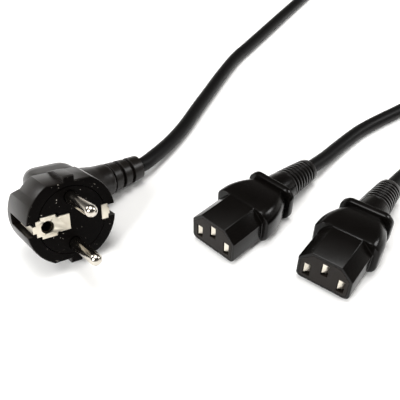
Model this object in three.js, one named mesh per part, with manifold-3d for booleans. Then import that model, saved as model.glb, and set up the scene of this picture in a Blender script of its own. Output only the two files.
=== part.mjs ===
// A mains power cord splitter: an angled two-pin plug with earth clips, a main cord, a moulded
// Y splitter, and two tail cords that end in three-slot appliance connectors.
// Millimetres, +Z up. Everything lies on the plane z = 0, and the origin is the point of that
// plane under the middle of the plug, the splitter and the connectors.
// Inside each moulding, X runs across (on the plug: towards its cord), -Y is the contact face's
// outward side, and Z is up.

import * as THREE from 'three';
import { mergeVertices } from 'three/addons/utils/BufferGeometryUtils.js';
import Module from 'manifold-3d';

// Fits between pieces
const SEAT_GAP = 0.3;
const SKIN_OVERLAP = 1;

// Cords and their cores
const MAIN_CORD_DIAMETER = 6.8;
const TAIL_CORD_DIAMETER = 6.6;
const CORE_DIAMETER = 2.1;
const CORE_LAY_RADIUS = 1.55;
const CORE_BORE_RADIUS = CORE_LAY_RADIUS + CORE_DIAMETER / 2 + SEAT_GAP;

// Plug contacts
const PIN_DIAMETER = 4.8;
const PIN_LENGTH = 19;
const PIN_PITCH = 19;
const PIN_TIP_LENGTH = 2.6;
const PIN_FLANGE_DIAMETER = 6.8;
const PIN_FLANGE_THICKNESS = 1.3;
const PIN_BARREL_DIAMETER = 3.6;
const PIN_BARREL_LENGTH = 6;
const EARTH_HOLE_OFFSET = 10;
const EARTH_HOLE_DIAMETER = 5;
const EARTH_SLEEVE_BORE = 4.1;
const EARTH_SLEEVE_WALL = 0.5;
const EARTH_SLEEVE_LENGTH = 12;
const EARTH_METAL_THICKNESS = 0.8;
const EARTH_METAL_PROUD = 0.2;
const EARTH_PLATE_HALF_HEIGHT = 4.2;
const EARTH_PLATE_STEP = 1.1;
const EARTH_PLATE_BODY_LEFT = 2.4;
const EARTH_PLATE_BODY_RIGHT = 4.2;
const EARTH_PLATE_TONGUE = 4.6;
const EARTH_PLATE_SHOULDER = 1.9;
const EARTH_CLIP_HEIGHT = 6;
const EARTH_LEG_HEIGHT = 2.8;
const EARTH_LEG_THICKNESS = 0.6;
const EARTH_LEG_LENGTH = 12;
const EARTH_TONGUE_DEPTH = 4.5;

// Plug mouldings
const HEAD_DIAMETER = 35.8;
const HEAD_HEIGHT = 31.2;
const BRIDGE_RIM = 1.5;
const BRIDGE_DIAMETER = PIN_PITCH + PIN_DIAMETER + 2 * BRIDGE_RIM;
const RIM_DEPTH = 14.3;
const LUG_DEPTH = 19.7;
const LUG_FRONT_HALF_ANGLE = THREE.MathUtils.degToRad(41);
const LUG_BACK_HALF_ANGLE = THREE.MathUtils.degToRad(28);
const LUG_ROOT = 9;
const RIB_WIDTH = 4.6;
const RIB_HEIGHT = 2.1;
const RIB_LENGTH = 16;
const SIDE_GROOVE_WIDTH = 4.8;
const SIDE_GROOVE_WALL = 1.3;
const SIDE_GROOVE_DEPTH = (HEAD_DIAMETER - BRIDGE_DIAMETER) / 2 - SIDE_GROOVE_WALL;
const SIDE_GROOVE_LENGTH = 16;
const BRIDGE_DEPTH = 6;
const EARTH_CLIP_SEAT = 1.6;
const EARTH_CLIP_START = BRIDGE_DIAMETER / 2 - EARTH_CLIP_SEAT;
const GRIP_DEPTH = 35;
const PLUG_CAVITY_WIDTH = 16;
const PLUG_CAVITY_HEIGHT = 26.6;
const PLUG_CAVITY_DEPTH = 26;

// Appliance connector
const FACE_WIDTH = 22;
const FACE_HEIGHT = 15.1;
const FACE_CHAMFER = 4.9;
const FACE_CORNER_RADIUS = 2;
const FACE_LIFT = 1.5;
const NOSE_LENGTH = 17;
const NOSE_WALL = 1;
const SHOULDER_WIDTH = 27.2;
const SHOULDER_HEIGHT = 16;
const SHOULDER_LIFT = 0.8;
const SHOULDER_SINK = 0.4;
const SHOULDER_RADIUS = 5;
const BODY_LENGTH = 35;
const COLLAR_WIDTH = 22.4;
const COLLAR_HEIGHT = 16;
const COLLAR_THICKNESS = 3;
const COLLAR_RADIUS = 4.6;
const COLLAR_EDGE = 0.6;
const SLOT_PITCH = 7;
const SLOT_HEIGHT_ABOVE_BASE = 5.5;
const EARTH_SLOT_RISE = 4;
const SLOT_WIDTH = 2.9;
const SLOT_HEIGHT = 6;
const CARRIER_LENGTH = 22;
const CONTACT_RECESS = 0.7;
const CONTACT_LENGTH = 14;
const CONTACT_WALL = 0.45;
const CONTACT_POCKET = 10;
const CONTACT_BARREL_LENGTH = 10;
const CONNECTOR_RELIEF_LENGTH = 26;
const CONNECTOR_RELIEF_DIAMETER = 14;
const CONNECTOR_RELIEF_END_DIAMETER = 10.2;
const CONNECTOR_RELIEF_GROOVES = 7;
const CONNECTOR_GROOVE_PITCH = 2.3;

// Y splitter
const SPLITTER_WIDTH = 27;
const SPLITTER_HEIGHT = 14;
const SPLITTER_LENGTH = 32;
const SPLITTER_RADIUS = 5.5;
const SPLITTER_SIDE_WALL = 3;
const SPLITTER_TOP_WALL = 2;
const SPLITTER_END_WALL = 3.5;
const SPLITTER_CAVITY_WIDTH = SPLITTER_WIDTH - 2 * SPLITTER_SIDE_WALL;
const SPLITTER_CAVITY_HEIGHT = SPLITTER_HEIGHT - 2 * SPLITTER_TOP_WALL;
const SPLITTER_CAVITY_LENGTH = SPLITTER_LENGTH - 2 * SPLITTER_END_WALL;
const SPLITTER_RELIEF_DROP = 1.1;
const SPLITTER_RELIEF_DIAMETER = 12.8;
const SPLITTER_RELIEF_END_DIAMETER = 10;
const SPLITTER_RELIEF_GROOVES = 4;
const SPLITTER_GROOVE_PITCH = 3;
const MAIN_RELIEF_LENGTH = 24;
const TAIL_RELIEF_LENGTH = 21;
const TAIL_PITCH = 14.4;
const SPLICE_DIAMETER = 4;
const SPLICE_LENGTH = 8;
const SPLICE_PITCH = 5;
const SPLICE_TIER = 2.35;
const TAIL_CORE_GAP = 0.35;

// Grooves that let a strain relief bend
const GROOVE_WIDTH = 1.2;
const GROOVE_DEPTH = 0.9;
const GROOVE_FLANK = 0.15;
const PLUG_GROOVE_WIDTH = 1.6;
const PLUG_GROOVE_DEPTH = 1.2;
const PLUG_GROOVE_PITCH = 5.3;

// The coil of main cord, three turns wide below and two above, and its ties
const COIL_MEAN_RADIUS = 36;
const COIL_TURNS_BELOW = 3;
const COIL_TURNS_ABOVE = 2;
const TIE_WIDTH = 8;
const TIE_THICKNESS = 0.8;
const TIE_SLACK = 0.5;
const TIE_ANGLES = [55, 235];

// Where the pieces lie, seen from above, and how each is turned
const PLUG_PLACE = new THREE.Vector2(-47.6, 146.4);
const PLUG_HEIGHT = 20.9;
const PLUG_TURN = THREE.MathUtils.degToRad(38.7);
const PLUG_LEAN = THREE.MathUtils.degToRad(-16);
const PLUG_ROLL = THREE.MathUtils.degToRad(11.5);
const LEFT_CONNECTOR_PLACE = new THREE.Vector2(5, 149.4);
const LEFT_CONNECTOR_TURN = THREE.MathUtils.degToRad(-44.4);
const RIGHT_CONNECTOR_PLACE = new THREE.Vector2(45.5, 130.05);
const RIGHT_CONNECTOR_TURN = THREE.MathUtils.degToRad(-36.6);
const CONNECTOR_PLACES = [
  { name: 'left', at: LEFT_CONNECTOR_PLACE, turn: LEFT_CONNECTOR_TURN },
  { name: 'right', at: RIGHT_CONNECTOR_PLACE, turn: RIGHT_CONNECTOR_TURN },
];
const SPLITTER_PLACE = new THREE.Vector2(161.5, 351.9);
const SPLITTER_TURN = THREE.MathUtils.degToRad(-20);
const COIL_PLACE = new THREE.Vector2(157, 454.7);
const MIDDLE = new THREE.Vector2(53.07, 257.345);

const POLES = ['live', 'neutral', 'earth'];
const wasm = await Module();
wasm.setup();

const black = new THREE.MeshStandardMaterial({ color: 0x141414, roughness: 0.38, flatShading: true });
const carrierBlack = new THREE.MeshStandardMaterial({ color: 0x1f1d1c, roughness: 0.5, flatShading: true });
const cordBlack = new THREE.MeshStandardMaterial({ color: 0x111111, roughness: 0.45, flatShading: true });
const nickel = new THREE.MeshStandardMaterial({
  color: 0xd9d5cc,
  roughness: 0.25,
  metalness: 1,
  flatShading: true,
});
const coreColours = { live: 0x6b3a1e, neutral: 0x1f5fae, earth: 0x8db32a };

// Solids and the joins and cuts between them

function cleaned(geometry) {
  const bare = geometry.clone();
  bare.deleteAttribute('normal');
  bare.deleteAttribute('uv');
  const merged = mergeVertices(bare, 1e-4);
  const index = Array.from(merged.index.array);
  const kept = [];
  for (let i = 0; i < index.length; i += 3) {
    const [a, b, c] = index.slice(i, i + 3);
    if (a !== b && b !== c && c !== a) kept.push(a, b, c);
  }
  merged.setIndex(kept);
  return facingOut(merged);
}

function facingOut(geometry) {
  const position = geometry.attributes.position;
  const index = geometry.index.array;
  const a = new THREE.Vector3();
  const b = new THREE.Vector3();
  const c = new THREE.Vector3();
  let volume = 0;
  for (let i = 0; i < index.length; i += 3) {
    a.fromBufferAttribute(position, index[i]);
    b.fromBufferAttribute(position, index[i + 1]);
    c.fromBufferAttribute(position, index[i + 2]);
    volume += a.dot(b.cross(c));
  }
  if (volume < 0) geometry.setIndex(Array.from(index).reverse());
  return geometry;
}

function solidOf(geometry) {
  const clean = cleaned(geometry);
  return new wasm.Manifold(
    new wasm.Mesh({
      numProp: 3,
      vertProperties: new Float32Array(clean.attributes.position.array),
      triVerts: new Uint32Array(clean.index.array),
    }),
  );
}

function geometryOf(solid) {
  const mesh = solid.getMesh();
  const geometry = new THREE.BufferGeometry();
  geometry.setAttribute('position', new THREE.BufferAttribute(mesh.vertProperties, 3));
  geometry.setIndex(new THREE.BufferAttribute(mesh.triVerts, 1));
  return geometry;
}

function carved(shapes, cuts = []) {
  let solid = solidOf(shapes[0]);
  for (const shape of shapes.slice(1)) solid = solid.add(solidOf(shape));
  for (const cut of cuts) solid = solid.subtract(solidOf(cut));
  return geometryOf(solid);
}

function piece(name, geometry, material) {
  const clean = geometry.index ? geometry : cleaned(geometry);
  const mesh = new THREE.Mesh(clean, material);
  mesh.name = name;
  return mesh;
}

// Outlines and skins

// An outline of the XZ plane, drawn from y = front to y = back
function prism(shape, front, back, curveSegments = 12) {
  const geometry = new THREE.ExtrudeGeometry(shape, {
    depth: back - front,
    bevelEnabled: false,
    curveSegments,
  });
  const turn = new THREE.Matrix4().makeBasis(
    new THREE.Vector3(1, 0, 0),
    new THREE.Vector3(0, 0, 1),
    new THREE.Vector3(0, -1, 0),
  );
  return geometry.applyMatrix4(turn).translate(0, back, 0);
}

function box(x0, x1, y0, y1, z0, z1) {
  return new THREE.BoxGeometry(x1 - x0, y1 - y0, z1 - z0).translate((x0 + x1) / 2, (y0 + y1) / 2, (z0 + z1) / 2);
}

function roundRect(halfX, halfY, radius) {
  const r = Math.min(radius, halfX, halfY);
  const shape = new THREE.Shape();
  shape.absarc(halfX - r, halfY - r, r, 0, Math.PI / 2);
  shape.absarc(-halfX + r, halfY - r, r, Math.PI / 2, Math.PI);
  shape.absarc(-halfX + r, -halfY + r, r, Math.PI, 1.5 * Math.PI);
  shape.absarc(halfX - r, -halfY + r, r, 1.5 * Math.PI, 2 * Math.PI);
  return shape;
}

// The points of a rounded rectangle, the same number for every size, so that skins can join them
function roundRing(halfX, halfY, radius, perCorner) {
  const r = Math.min(radius, halfX - 0.01, halfY - 0.01);
  const points = [];
  for (let corner = 0; corner < 4; corner += 1) {
    const sideX = corner === 0 || corner === 3 ? 1 : -1;
    const sideY = corner < 2 ? 1 : -1;
    for (let step = 0; step < perCorner; step += 1) {
      const angle = (Math.PI / 2) * (corner + step / (perCorner - 1));
      points.push(
        new THREE.Vector2(
          sideX * (halfX - r) + r * Math.cos(angle),
          sideY * (halfY - r) + r * Math.sin(angle),
        ),
      );
    }
  }
  return points;
}

// A closed skin over rings of points that all have the same count
function skin(rings) {
  const count = rings[0].length;
  const positions = rings.flat().flatMap((point) => point.toArray());
  const index = [];
  for (let ring = 0; ring < rings.length - 1; ring += 1) {
    for (let i = 0; i < count; i += 1) {
      const a = ring * count + i;
      const b = ring * count + ((i + 1) % count);
      index.push(a, b, a + count, b, b + count, a + count);
    }
  }
  const last = (rings.length - 1) * count;
  for (let i = 1; i < count - 1; i += 1) {
    index.push(0, i + 1, i);
    index.push(last, last + i, last + i + 1);
  }
  const geometry = new THREE.BufferGeometry();
  geometry.setAttribute('position', new THREE.Float32BufferAttribute(positions, 3));
  geometry.setIndex(index);
  return geometry;
}

// A skin of rounded rectangles that stand across the Y axis
function loft(stations, perCorner = 6) {
  return skin(
    stations.map(({ y, x = 0, z = 0, halfX, halfZ, radius }) =>
      roundRing(halfX, halfZ, radius, perCorner).map((p) => new THREE.Vector3(x + p.x, y, z + p.y)),
    ),
  );
}

// A round skin along a curve, whose radius follows stations of { at: 0 to 1, radius }
function sleeve(curve, stations, sides) {
  const up = new THREE.Vector3(0, 0, 1);
  return skin(
    stations.map(({ at, radius }) => {
      const centre = curve.getPointAt(at);
      const along = curve.getTangentAt(at);
      const across = new THREE.Vector3().crossVectors(along, up).normalize();
      const over = new THREE.Vector3().crossVectors(across, along);
      return Array.from({ length: sides }, (_, i) => {
        const angle = (2 * Math.PI * i) / sides;
        return centre
          .clone()
          .addScaledVector(across, radius * Math.cos(angle))
          .addScaledVector(over, radius * Math.sin(angle));
      });
    }),
  );
}

function tube(curve, radius, sides, steps) {
  const section = new THREE.Shape(
    Array.from({ length: sides }, (_, i) => {
      const angle = (2 * Math.PI * (i + 0.5)) / sides;
      return new THREE.Vector2(radius * Math.cos(angle), radius * Math.sin(angle));
    }),
  );
  return new THREE.ExtrudeGeometry(section, { steps, bevelEnabled: false, extrudePath: curve });
}

function turned(profile, sides) {
  return new THREE.LatheGeometry(profile.map(([radius, y]) => new THREE.Vector2(radius, y)), sides);
}

// Stations of a tapered strain relief with square grooves cut round it
function reliefStations(length, startRadius, endRadius, grooves, grooveWidth, grooveDepth) {
  const radiusAt = (distance) => startRadius + ((endRadius - startRadius) * distance) / length;
  const stations = [{ at: 0, radius: startRadius }];
  for (const start of grooves) {
    const end = start + grooveWidth;
    stations.push({ at: start / length, radius: radiusAt(start) });
    stations.push({ at: (start + GROOVE_FLANK) / length, radius: radiusAt(start) - grooveDepth });
    stations.push({ at: (end - GROOVE_FLANK) / length, radius: radiusAt(end) - grooveDepth });
    stations.push({ at: end / length, radius: radiusAt(end) });
  }
  stations.push({ at: 1, radius: endRadius });
  return stations;
}

// Three cores laid in a triangle round a bore's axis, from their crimps to the bore's far end.
// Each core keeps its own angle round the axis, in degrees.
function laidCores(prefix, starts, axisPoints, angles) {
  return POLES.map((pole, k) => {
    const angle = THREE.MathUtils.degToRad(angles[k]);
    const laid = axisPoints.map(({ point, across }) =>
      point
        .clone()
        .addScaledVector(across, CORE_LAY_RADIUS * Math.cos(angle))
        .add(new THREE.Vector3(0, 0, CORE_LAY_RADIUS * Math.sin(angle))),
    );
    const curve = new THREE.CatmullRomCurve3([...starts[k], ...laid]);
    const colour = new THREE.MeshStandardMaterial({ color: coreColours[pole], roughness: 0.5, flatShading: true });
    return piece(`${prefix}_core_${pole}`, tube(curve, CORE_DIAMETER / 2, 6, 9), colour);
  });
}

// Plug

const PLUG_AXIS_POINTS = [
  [8, 23, 0.4],
  [14, 24.9, 0.7],
  [20, 26.5, 0.8],
  [30, 28.5, 1.2],
  [40, 29.8, 2],
  [46.8, 30.3, 2.8],
];
const CORE_GATHER_POINTS = [
  [3, 20, 5],
  [7.5, 23, 1.8],
];
const EARTH_CORE_POINT = [2, 19, 0];
const PLUG_AXIS = new THREE.CatmullRomCurve3(PLUG_AXIS_POINTS.map((point) => new THREE.Vector3(...point)));

function headShape(inset = 0) {
  const radius = HEAD_DIAMETER / 2 - inset;
  const half = HEAD_HEIGHT / 2 - inset;
  const flat = Math.asin(half / radius);
  const shape = new THREE.Shape();
  shape.absarc(0, 0, radius, -flat, flat);
  shape.absarc(0, 0, radius, Math.PI - flat, Math.PI + flat);
  return shape;
}

function lug() {
  const arc = (half, y) => {
    const points = Array.from({ length: 9 }, (_, i) => {
      const angle = Math.PI - half + (2 * half * i) / 8;
      return new THREE.Vector3((HEAD_DIAMETER / 2) * Math.cos(angle), y, (HEAD_DIAMETER / 2) * Math.sin(angle));
    });
    const root = (HEAD_DIAMETER / 2) * Math.sin(half);
    points.push(new THREE.Vector3(-LUG_ROOT, y, -root), new THREE.Vector3(-LUG_ROOT, y, root));
    return points;
  };
  return skin([
    arc(LUG_FRONT_HALF_ANGLE, RIM_DEPTH - SKIN_OVERLAP),
    arc(LUG_FRONT_HALF_ANGLE, RIM_DEPTH),
    arc(LUG_BACK_HALF_ANGLE, LUG_DEPTH),
  ]);
}

function rib(side) {
  const seat = HEAD_HEIGHT / 2 - SKIN_OVERLAP;
  const top = HEAD_HEIGHT / 2 + RIB_HEIGHT;
  const wedge = new THREE.Shape([
    new THREE.Vector2(0, seat),
    new THREE.Vector2(RIB_LENGTH, seat),
    new THREE.Vector2(0, top),
  ]);
  const geometry = new THREE.ExtrudeGeometry(wedge, { depth: RIB_WIDTH, bevelEnabled: false });
  const turn = new THREE.Matrix4().makeBasis(
    new THREE.Vector3(0, 1, 0),
    new THREE.Vector3(0, 0, side),
    new THREE.Vector3(side, 0, 0),
  );
  return geometry.applyMatrix4(turn).translate((-side * RIB_WIDTH) / 2, 0, 0);
}

function grip() {
  const half = HEAD_HEIGHT / 2;
  return loft([
    { y: RIM_DEPTH - SKIN_OVERLAP, x: 0.4, halfX: 11, halfZ: half - 0.3, radius: 5.5 },
    { y: RIM_DEPTH + 6, x: 0.4, z: 0.2, halfX: 10.6, halfZ: half - 0.5, radius: 5.5 },
    { y: GRIP_DEPTH - 11, x: 0.4, z: 0.5, halfX: 10.4, halfZ: half - 1.3, radius: 6 },
    { y: GRIP_DEPTH - 7, x: 0.4, z: 0.4, halfX: 9.8, halfZ: half - 2.8, radius: 6.5 },
    { y: GRIP_DEPTH - 3.5, x: 0.7, z: 0.3, halfX: 8.7, halfZ: half - 5.5, radius: 6.8 },
    { y: GRIP_DEPTH - 1, x: 1, z: 0.2, halfX: 6.3, halfZ: half - 8.8, radius: 5.8 },
    { y: GRIP_DEPTH, x: 1, halfX: 3.6, halfZ: half - 12, radius: 3.4 },
  ]);
}

function neckAndRelief() {
  const length = PLUG_AXIS.getLength();
  const block = 5.6;
  const taper = [
    { at: 0, radius: 10.9 },
    { at: 5 / length, radius: 10.4 },
    { at: 10 / length, radius: 9.1 },
    { at: 15 / length, radius: 8 },
    { at: 20.5 / length, radius: 7.2 },
  ];
  const grooveStart = 21.4;
  const end = length - block;
  const relief = [0, 1, 2].flatMap((k) => {
    const start = grooveStart + k * PLUG_GROOVE_PITCH;
    const stop = start + PLUG_GROOVE_WIDTH;
    const radius = (distance) => 7.1 - ((distance - grooveStart) * 1.7) / (end - grooveStart);
    return [
      { at: start / length, radius: radius(start) },
      { at: (start + GROOVE_FLANK) / length, radius: radius(start) - PLUG_GROOVE_DEPTH },
      { at: (stop - GROOVE_FLANK) / length, radius: radius(stop) - PLUG_GROOVE_DEPTH },
      { at: stop / length, radius: k < 2 ? radius(stop) : 5.6 },
    ];
  });
  const blockEnd = [
    { at: (length - 0.8) / length, radius: 5.5 },
    { at: 1, radius: 4.9 },
  ];
  return sleeve(PLUG_AXIS, [...taper, ...relief, ...blockEnd], 16);
}

function sideGroove(side) {
  const floor = HEAD_DIAMETER / 2 - SIDE_GROOVE_DEPTH;
  const reach = HEAD_DIAMETER;
  const x = [side * floor, side * reach].sort((a, b) => a - b);
  return box(x[0], x[1], -1, SIDE_GROOVE_LENGTH, -SIDE_GROOVE_WIDTH / 2, SIDE_GROOVE_WIDTH / 2);
}

function legX() {
  return HEAD_DIAMETER / 2 - SIDE_GROOVE_DEPTH + SEAT_GAP;
}

// The earth plate's outline, drawn bigger by grow for the recess that it lies in
function earthPlateShape(grow = 0) {
  const high = EARTH_PLATE_HALF_HEIGHT + grow;
  const low = EARTH_PLATE_HALF_HEIGHT - EARTH_PLATE_STEP + grow;
  const tip = EARTH_LEG_HEIGHT / 2 + grow;
  const left = -EARTH_HOLE_OFFSET - EARTH_PLATE_BODY_LEFT;
  const right = -EARTH_HOLE_OFFSET + EARTH_PLATE_BODY_RIGHT;
  const x = [
    -legX() - EARTH_LEG_THICKNESS - grow,
    left - EARTH_PLATE_SHOULDER - grow,
    left - grow,
    right + grow,
    right + EARTH_PLATE_TONGUE + grow,
  ];
  const upper = [
    [x[0], tip],
    [x[1], tip],
    [x[1], low],
    [x[2], low],
    [x[2], high],
    [x[3], high],
    [x[3], low],
    [x[4], low],
  ];
  const lower = upper.map(([px, pz]) => [px, -pz]).reverse();
  return new THREE.Shape([...upper, ...lower].map(([px, pz]) => new THREE.Vector2(px, pz)));
}

function earthLeg(side) {
  const near = legX();
  const x = [side * near, side * (near + EARTH_LEG_THICKNESS)].sort((a, b) => a - b);
  const half = EARTH_LEG_HEIGHT / 2;
  return box(x[0], x[1], -EARTH_METAL_PROUD, EARTH_LEG_LENGTH, -half, half);
}

function clipPad(grow = 0) {
  const half = EARTH_CLIP_HEIGHT / 2 + grow;
  const front = -EARTH_METAL_PROUD - grow * 10;
  const back = EARTH_METAL_THICKNESS - EARTH_METAL_PROUD + grow;
  const edge = HEAD_DIAMETER / 2 - SIDE_GROOVE_DEPTH;
  return box(EARTH_CLIP_START - grow, edge + (grow ? 0.5 : 0), front, back, -half, half);
}

function clipTongue(grow = 0) {
  const half = EARTH_LEG_HEIGHT / 2 + grow;
  const back = EARTH_TONGUE_DEPTH + grow;
  return box(EARTH_CLIP_START - grow, EARTH_CLIP_START + EARTH_LEG_THICKNESS + grow, 0, back, -half, half);
}

function atPins(make) {
  return [1, -1].map((side) => make().translate(0, 0, (side * PIN_PITCH) / 2));
}

function plugBody() {
  const recessDepth = EARTH_METAL_THICKNESS - EARTH_METAL_PROUD + SEAT_GAP;
  const shapes = [prism(headShape(), 0, RIM_DEPTH, 20), lug(), rib(1), rib(-1), grip(), neckAndRelief()];
  const bore = new THREE.CatmullRomCurve3([
    new THREE.Vector3(0, PLUG_CAVITY_DEPTH - 4, 0),
    ...PLUG_AXIS.points,
    PLUG_AXIS.getPointAt(1).addScaledVector(PLUG_AXIS.getTangentAt(1), 2),
  ]);
  const pocket = new THREE.CylinderGeometry(
    BRIDGE_DIAMETER / 2 + SEAT_GAP,
    BRIDGE_DIAMETER / 2 + SEAT_GAP,
    BRIDGE_DEPTH + SEAT_GAP + 1,
    40,
  ).translate(0, (BRIDGE_DEPTH + SEAT_GAP - 1) / 2, 0);
  const cavityFront = BRIDGE_DEPTH - 1;
  const cavity = prism(
    roundRect(PLUG_CAVITY_WIDTH / 2, PLUG_CAVITY_HEIGHT / 2, 4),
    cavityFront,
    PLUG_CAVITY_DEPTH - 6,
    3,
  );
  const cavityBack = prism(roundRect(8.2, 9, 4), PLUG_CAVITY_DEPTH - 7, PLUG_CAVITY_DEPTH, 3).translate(2.2, 0, 0);
  const sleeveBore = earthSleeveRadius() + SEAT_GAP;
  const sleeveRoom = new THREE.CylinderGeometry(sleeveBore, sleeveBore, EARTH_SLEEVE_LENGTH, 20).translate(
    -EARTH_HOLE_OFFSET,
    EARTH_SLEEVE_LENGTH / 2 + recessDepth + SEAT_GAP + 1,
    0,
  );
  const cuts = [
    pocket,
    cavity,
    cavityBack,
    sleeveRoom,
    tube(bore, CORE_BORE_RADIUS, 10, 14),
    sideGroove(1),
    sideGroove(-1),
    prism(earthPlateShape(SEAT_GAP), -1, recessDepth),
    clipPad(SEAT_GAP),
  ];
  return piece('plug_body', carved(shapes, cuts), black);
}

function earthSleeveRadius() {
  return EARTH_SLEEVE_BORE / 2 + EARTH_SLEEVE_WALL;
}

function plugBridge() {
  const recessDepth = EARTH_METAL_THICKNESS - EARTH_METAL_PROUD + SEAT_GAP;
  const disc = new THREE.CylinderGeometry(BRIDGE_DIAMETER / 2, BRIDGE_DIAMETER / 2, BRIDGE_DEPTH, 40);
  disc.translate(0, BRIDGE_DEPTH / 2, 0);
  const through = (radius) => new THREE.CylinderGeometry(radius, radius, BRIDGE_DEPTH * 3, 20);
  const cuts = [
    ...atPins(() => through(PIN_DIAMETER / 2 + SEAT_GAP)),
    through(earthSleeveRadius() + SEAT_GAP).translate(-EARTH_HOLE_OFFSET, 0, 0),
    prism(earthPlateShape(SEAT_GAP), -1, recessDepth),
    clipPad(SEAT_GAP),
    clipTongue(SEAT_GAP),
  ];
  return piece('plug_bridge', carved([disc], cuts), carrierBlack);
}

function pin(name, side) {
  const radius = PIN_DIAMETER / 2;
  const flangeStart = BRIDGE_DEPTH + SEAT_GAP;
  const flangeEnd = flangeStart + PIN_FLANGE_THICKNESS;
  const dome = Array.from({ length: 6 }, (_, i) => {
    const angle = (Math.PI / 2) * (i / 5);
    return [radius * Math.sin(angle), -PIN_LENGTH + PIN_TIP_LENGTH * (1 - Math.cos(angle))];
  });
  const profile = [
    ...dome,
    [radius, flangeStart],
    [PIN_FLANGE_DIAMETER / 2, flangeStart],
    [PIN_FLANGE_DIAMETER / 2, flangeEnd],
    [PIN_BARREL_DIAMETER / 2, flangeEnd],
    [PIN_BARREL_DIAMETER / 2, flangeEnd + PIN_BARREL_LENGTH],
    [0, flangeEnd + PIN_BARREL_LENGTH],
  ];
  return piece(name, cleaned(turned(profile, 16)).translate(0, 0, (side * PIN_PITCH) / 2), nickel);
}

function earthPlate() {
  const plate = prism(earthPlateShape(), -EARTH_METAL_PROUD, EARTH_METAL_THICKNESS - EARTH_METAL_PROUD);
  const radius = EARTH_HOLE_DIAMETER / 2;
  const hole = new THREE.CylinderGeometry(radius, radius, 8, 24).translate(-EARTH_HOLE_OFFSET, 0, 0);
  return piece('plug_earth_plate', carved([plate, earthLeg(-1)], [hole]), nickel);
}

function earthSleeve() {
  const inner = EARTH_SLEEVE_BORE / 2;
  const outer = earthSleeveRadius();
  const front = EARTH_METAL_THICKNESS - EARTH_METAL_PROUD + SEAT_GAP;
  const back = front + EARTH_SLEEVE_LENGTH;
  const profile = [
    [0, back - 1],
    [inner, back - 1],
    [inner, front],
    [outer, front],
    [outer, back],
    [0, back],
  ];
  const tubeWall = cleaned(turned(profile, 20)).translate(-EARTH_HOLE_OFFSET, 0, 0);
  return piece('plug_earth_sleeve', tubeWall, nickel);
}

function earthClip() {
  const edge = HEAD_DIAMETER / 2 - SIDE_GROOVE_DEPTH;
  const half = EARTH_LEG_HEIGHT / 2;
  const fold = box(
    edge - 1,
    legX() + EARTH_LEG_THICKNESS,
    -EARTH_METAL_PROUD,
    EARTH_METAL_THICKNESS - EARTH_METAL_PROUD,
    -half,
    half,
  );
  return piece('plug_earth_clip', carved([clipPad(), fold, earthLeg(1), clipTongue()]), nickel);
}

function plugCores() {
  const crimpEnd = BRIDGE_DEPTH + SEAT_GAP + PIN_FLANGE_THICKNESS + PIN_BARREL_LENGTH + SEAT_GAP;
  const sleeveEnd = EARTH_METAL_THICKNESS - EARTH_METAL_PROUD + SEAT_GAP + EARTH_SLEEVE_LENGTH + SEAT_GAP;
  const start = (x, y, z) => [new THREE.Vector3(x, y, z), new THREE.Vector3(x, y + 1.5, z)];
  const gathered = (side) => CORE_GATHER_POINTS.map(([x, y, z]) => new THREE.Vector3(x, y, side * z));
  const starts = [
    [...start(0, crimpEnd, PIN_PITCH / 2), ...gathered(1)],
    [...start(0, crimpEnd, -PIN_PITCH / 2), ...gathered(-1)],
    [...start(-EARTH_HOLE_OFFSET + 3.6, sleeveEnd, 0), new THREE.Vector3(...EARTH_CORE_POINT)],
  ];
  const across = new THREE.Vector3(0, 1, 0);
  const stops = [0.12, 0.35, 0.6, 0.8, 0.995];
  const axisPoints = stops.map((at) => ({ point: PLUG_AXIS.getPointAt(at), across }));
  return laidCores('plug', starts, axisPoints, [60, 300, 180]);
}

function makePlug() {
  const group = new THREE.Group();
  group.add(plugBody(), plugBridge());
  group.add(pin('plug_pin_upper', 1), pin('plug_pin_lower', -1));
  group.add(earthPlate(), earthSleeve(), earthClip());
  group.add(...plugCores());
  group.position.set(PLUG_PLACE.x, PLUG_PLACE.y, PLUG_HEIGHT);
  group.rotation.set(PLUG_LEAN, PLUG_ROLL, PLUG_TURN, 'ZXY');
  return group;
}

// Appliance connector

function faceShape(inset = 0) {
  const half = FACE_WIDTH / 2 - inset;
  const base = FACE_LIFT + inset;
  const top = FACE_LIFT + FACE_HEIGHT - inset;
  const chamfer = FACE_CHAMFER - inset * (2 - Math.SQRT2);
  const radius = FACE_CORNER_RADIUS - inset / 2;
  const shape = new THREE.Shape();
  shape.moveTo(half, top - chamfer);
  shape.lineTo(half - chamfer, top);
  shape.lineTo(-half + chamfer, top);
  shape.lineTo(-half, top - chamfer);
  shape.absarc(-half + radius, base + radius, radius, Math.PI, 1.5 * Math.PI);
  shape.absarc(half - radius, base + radius, radius, 1.5 * Math.PI, 2 * Math.PI);
  return shape;
}

function slotCentres() {
  const z = FACE_LIFT + SLOT_HEIGHT_ABOVE_BASE;
  return { live: [SLOT_PITCH, z], neutral: [-SLOT_PITCH, z], earth: [0, z + EARTH_SLOT_RISE] };
}

const CONNECTOR_AXIS_HEIGHT = COLLAR_HEIGHT / 2;
const RELIEF_START = BODY_LENGTH + COLLAR_THICKNESS - 0.5;

function connectorAxis() {
  const end = RELIEF_START + CONNECTOR_RELIEF_LENGTH;
  return new THREE.CatmullRomCurve3([
    new THREE.Vector3(0, RELIEF_START, CONNECTOR_AXIS_HEIGHT),
    new THREE.Vector3(0, RELIEF_START + 8, CONNECTOR_AXIS_HEIGHT - 0.2),
    new THREE.Vector3(0, end - 8, CONNECTOR_AXIS_HEIGHT - 1),
    new THREE.Vector3(0, end, CONNECTOR_AXIS_HEIGHT - 2),
  ]);
}

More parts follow.
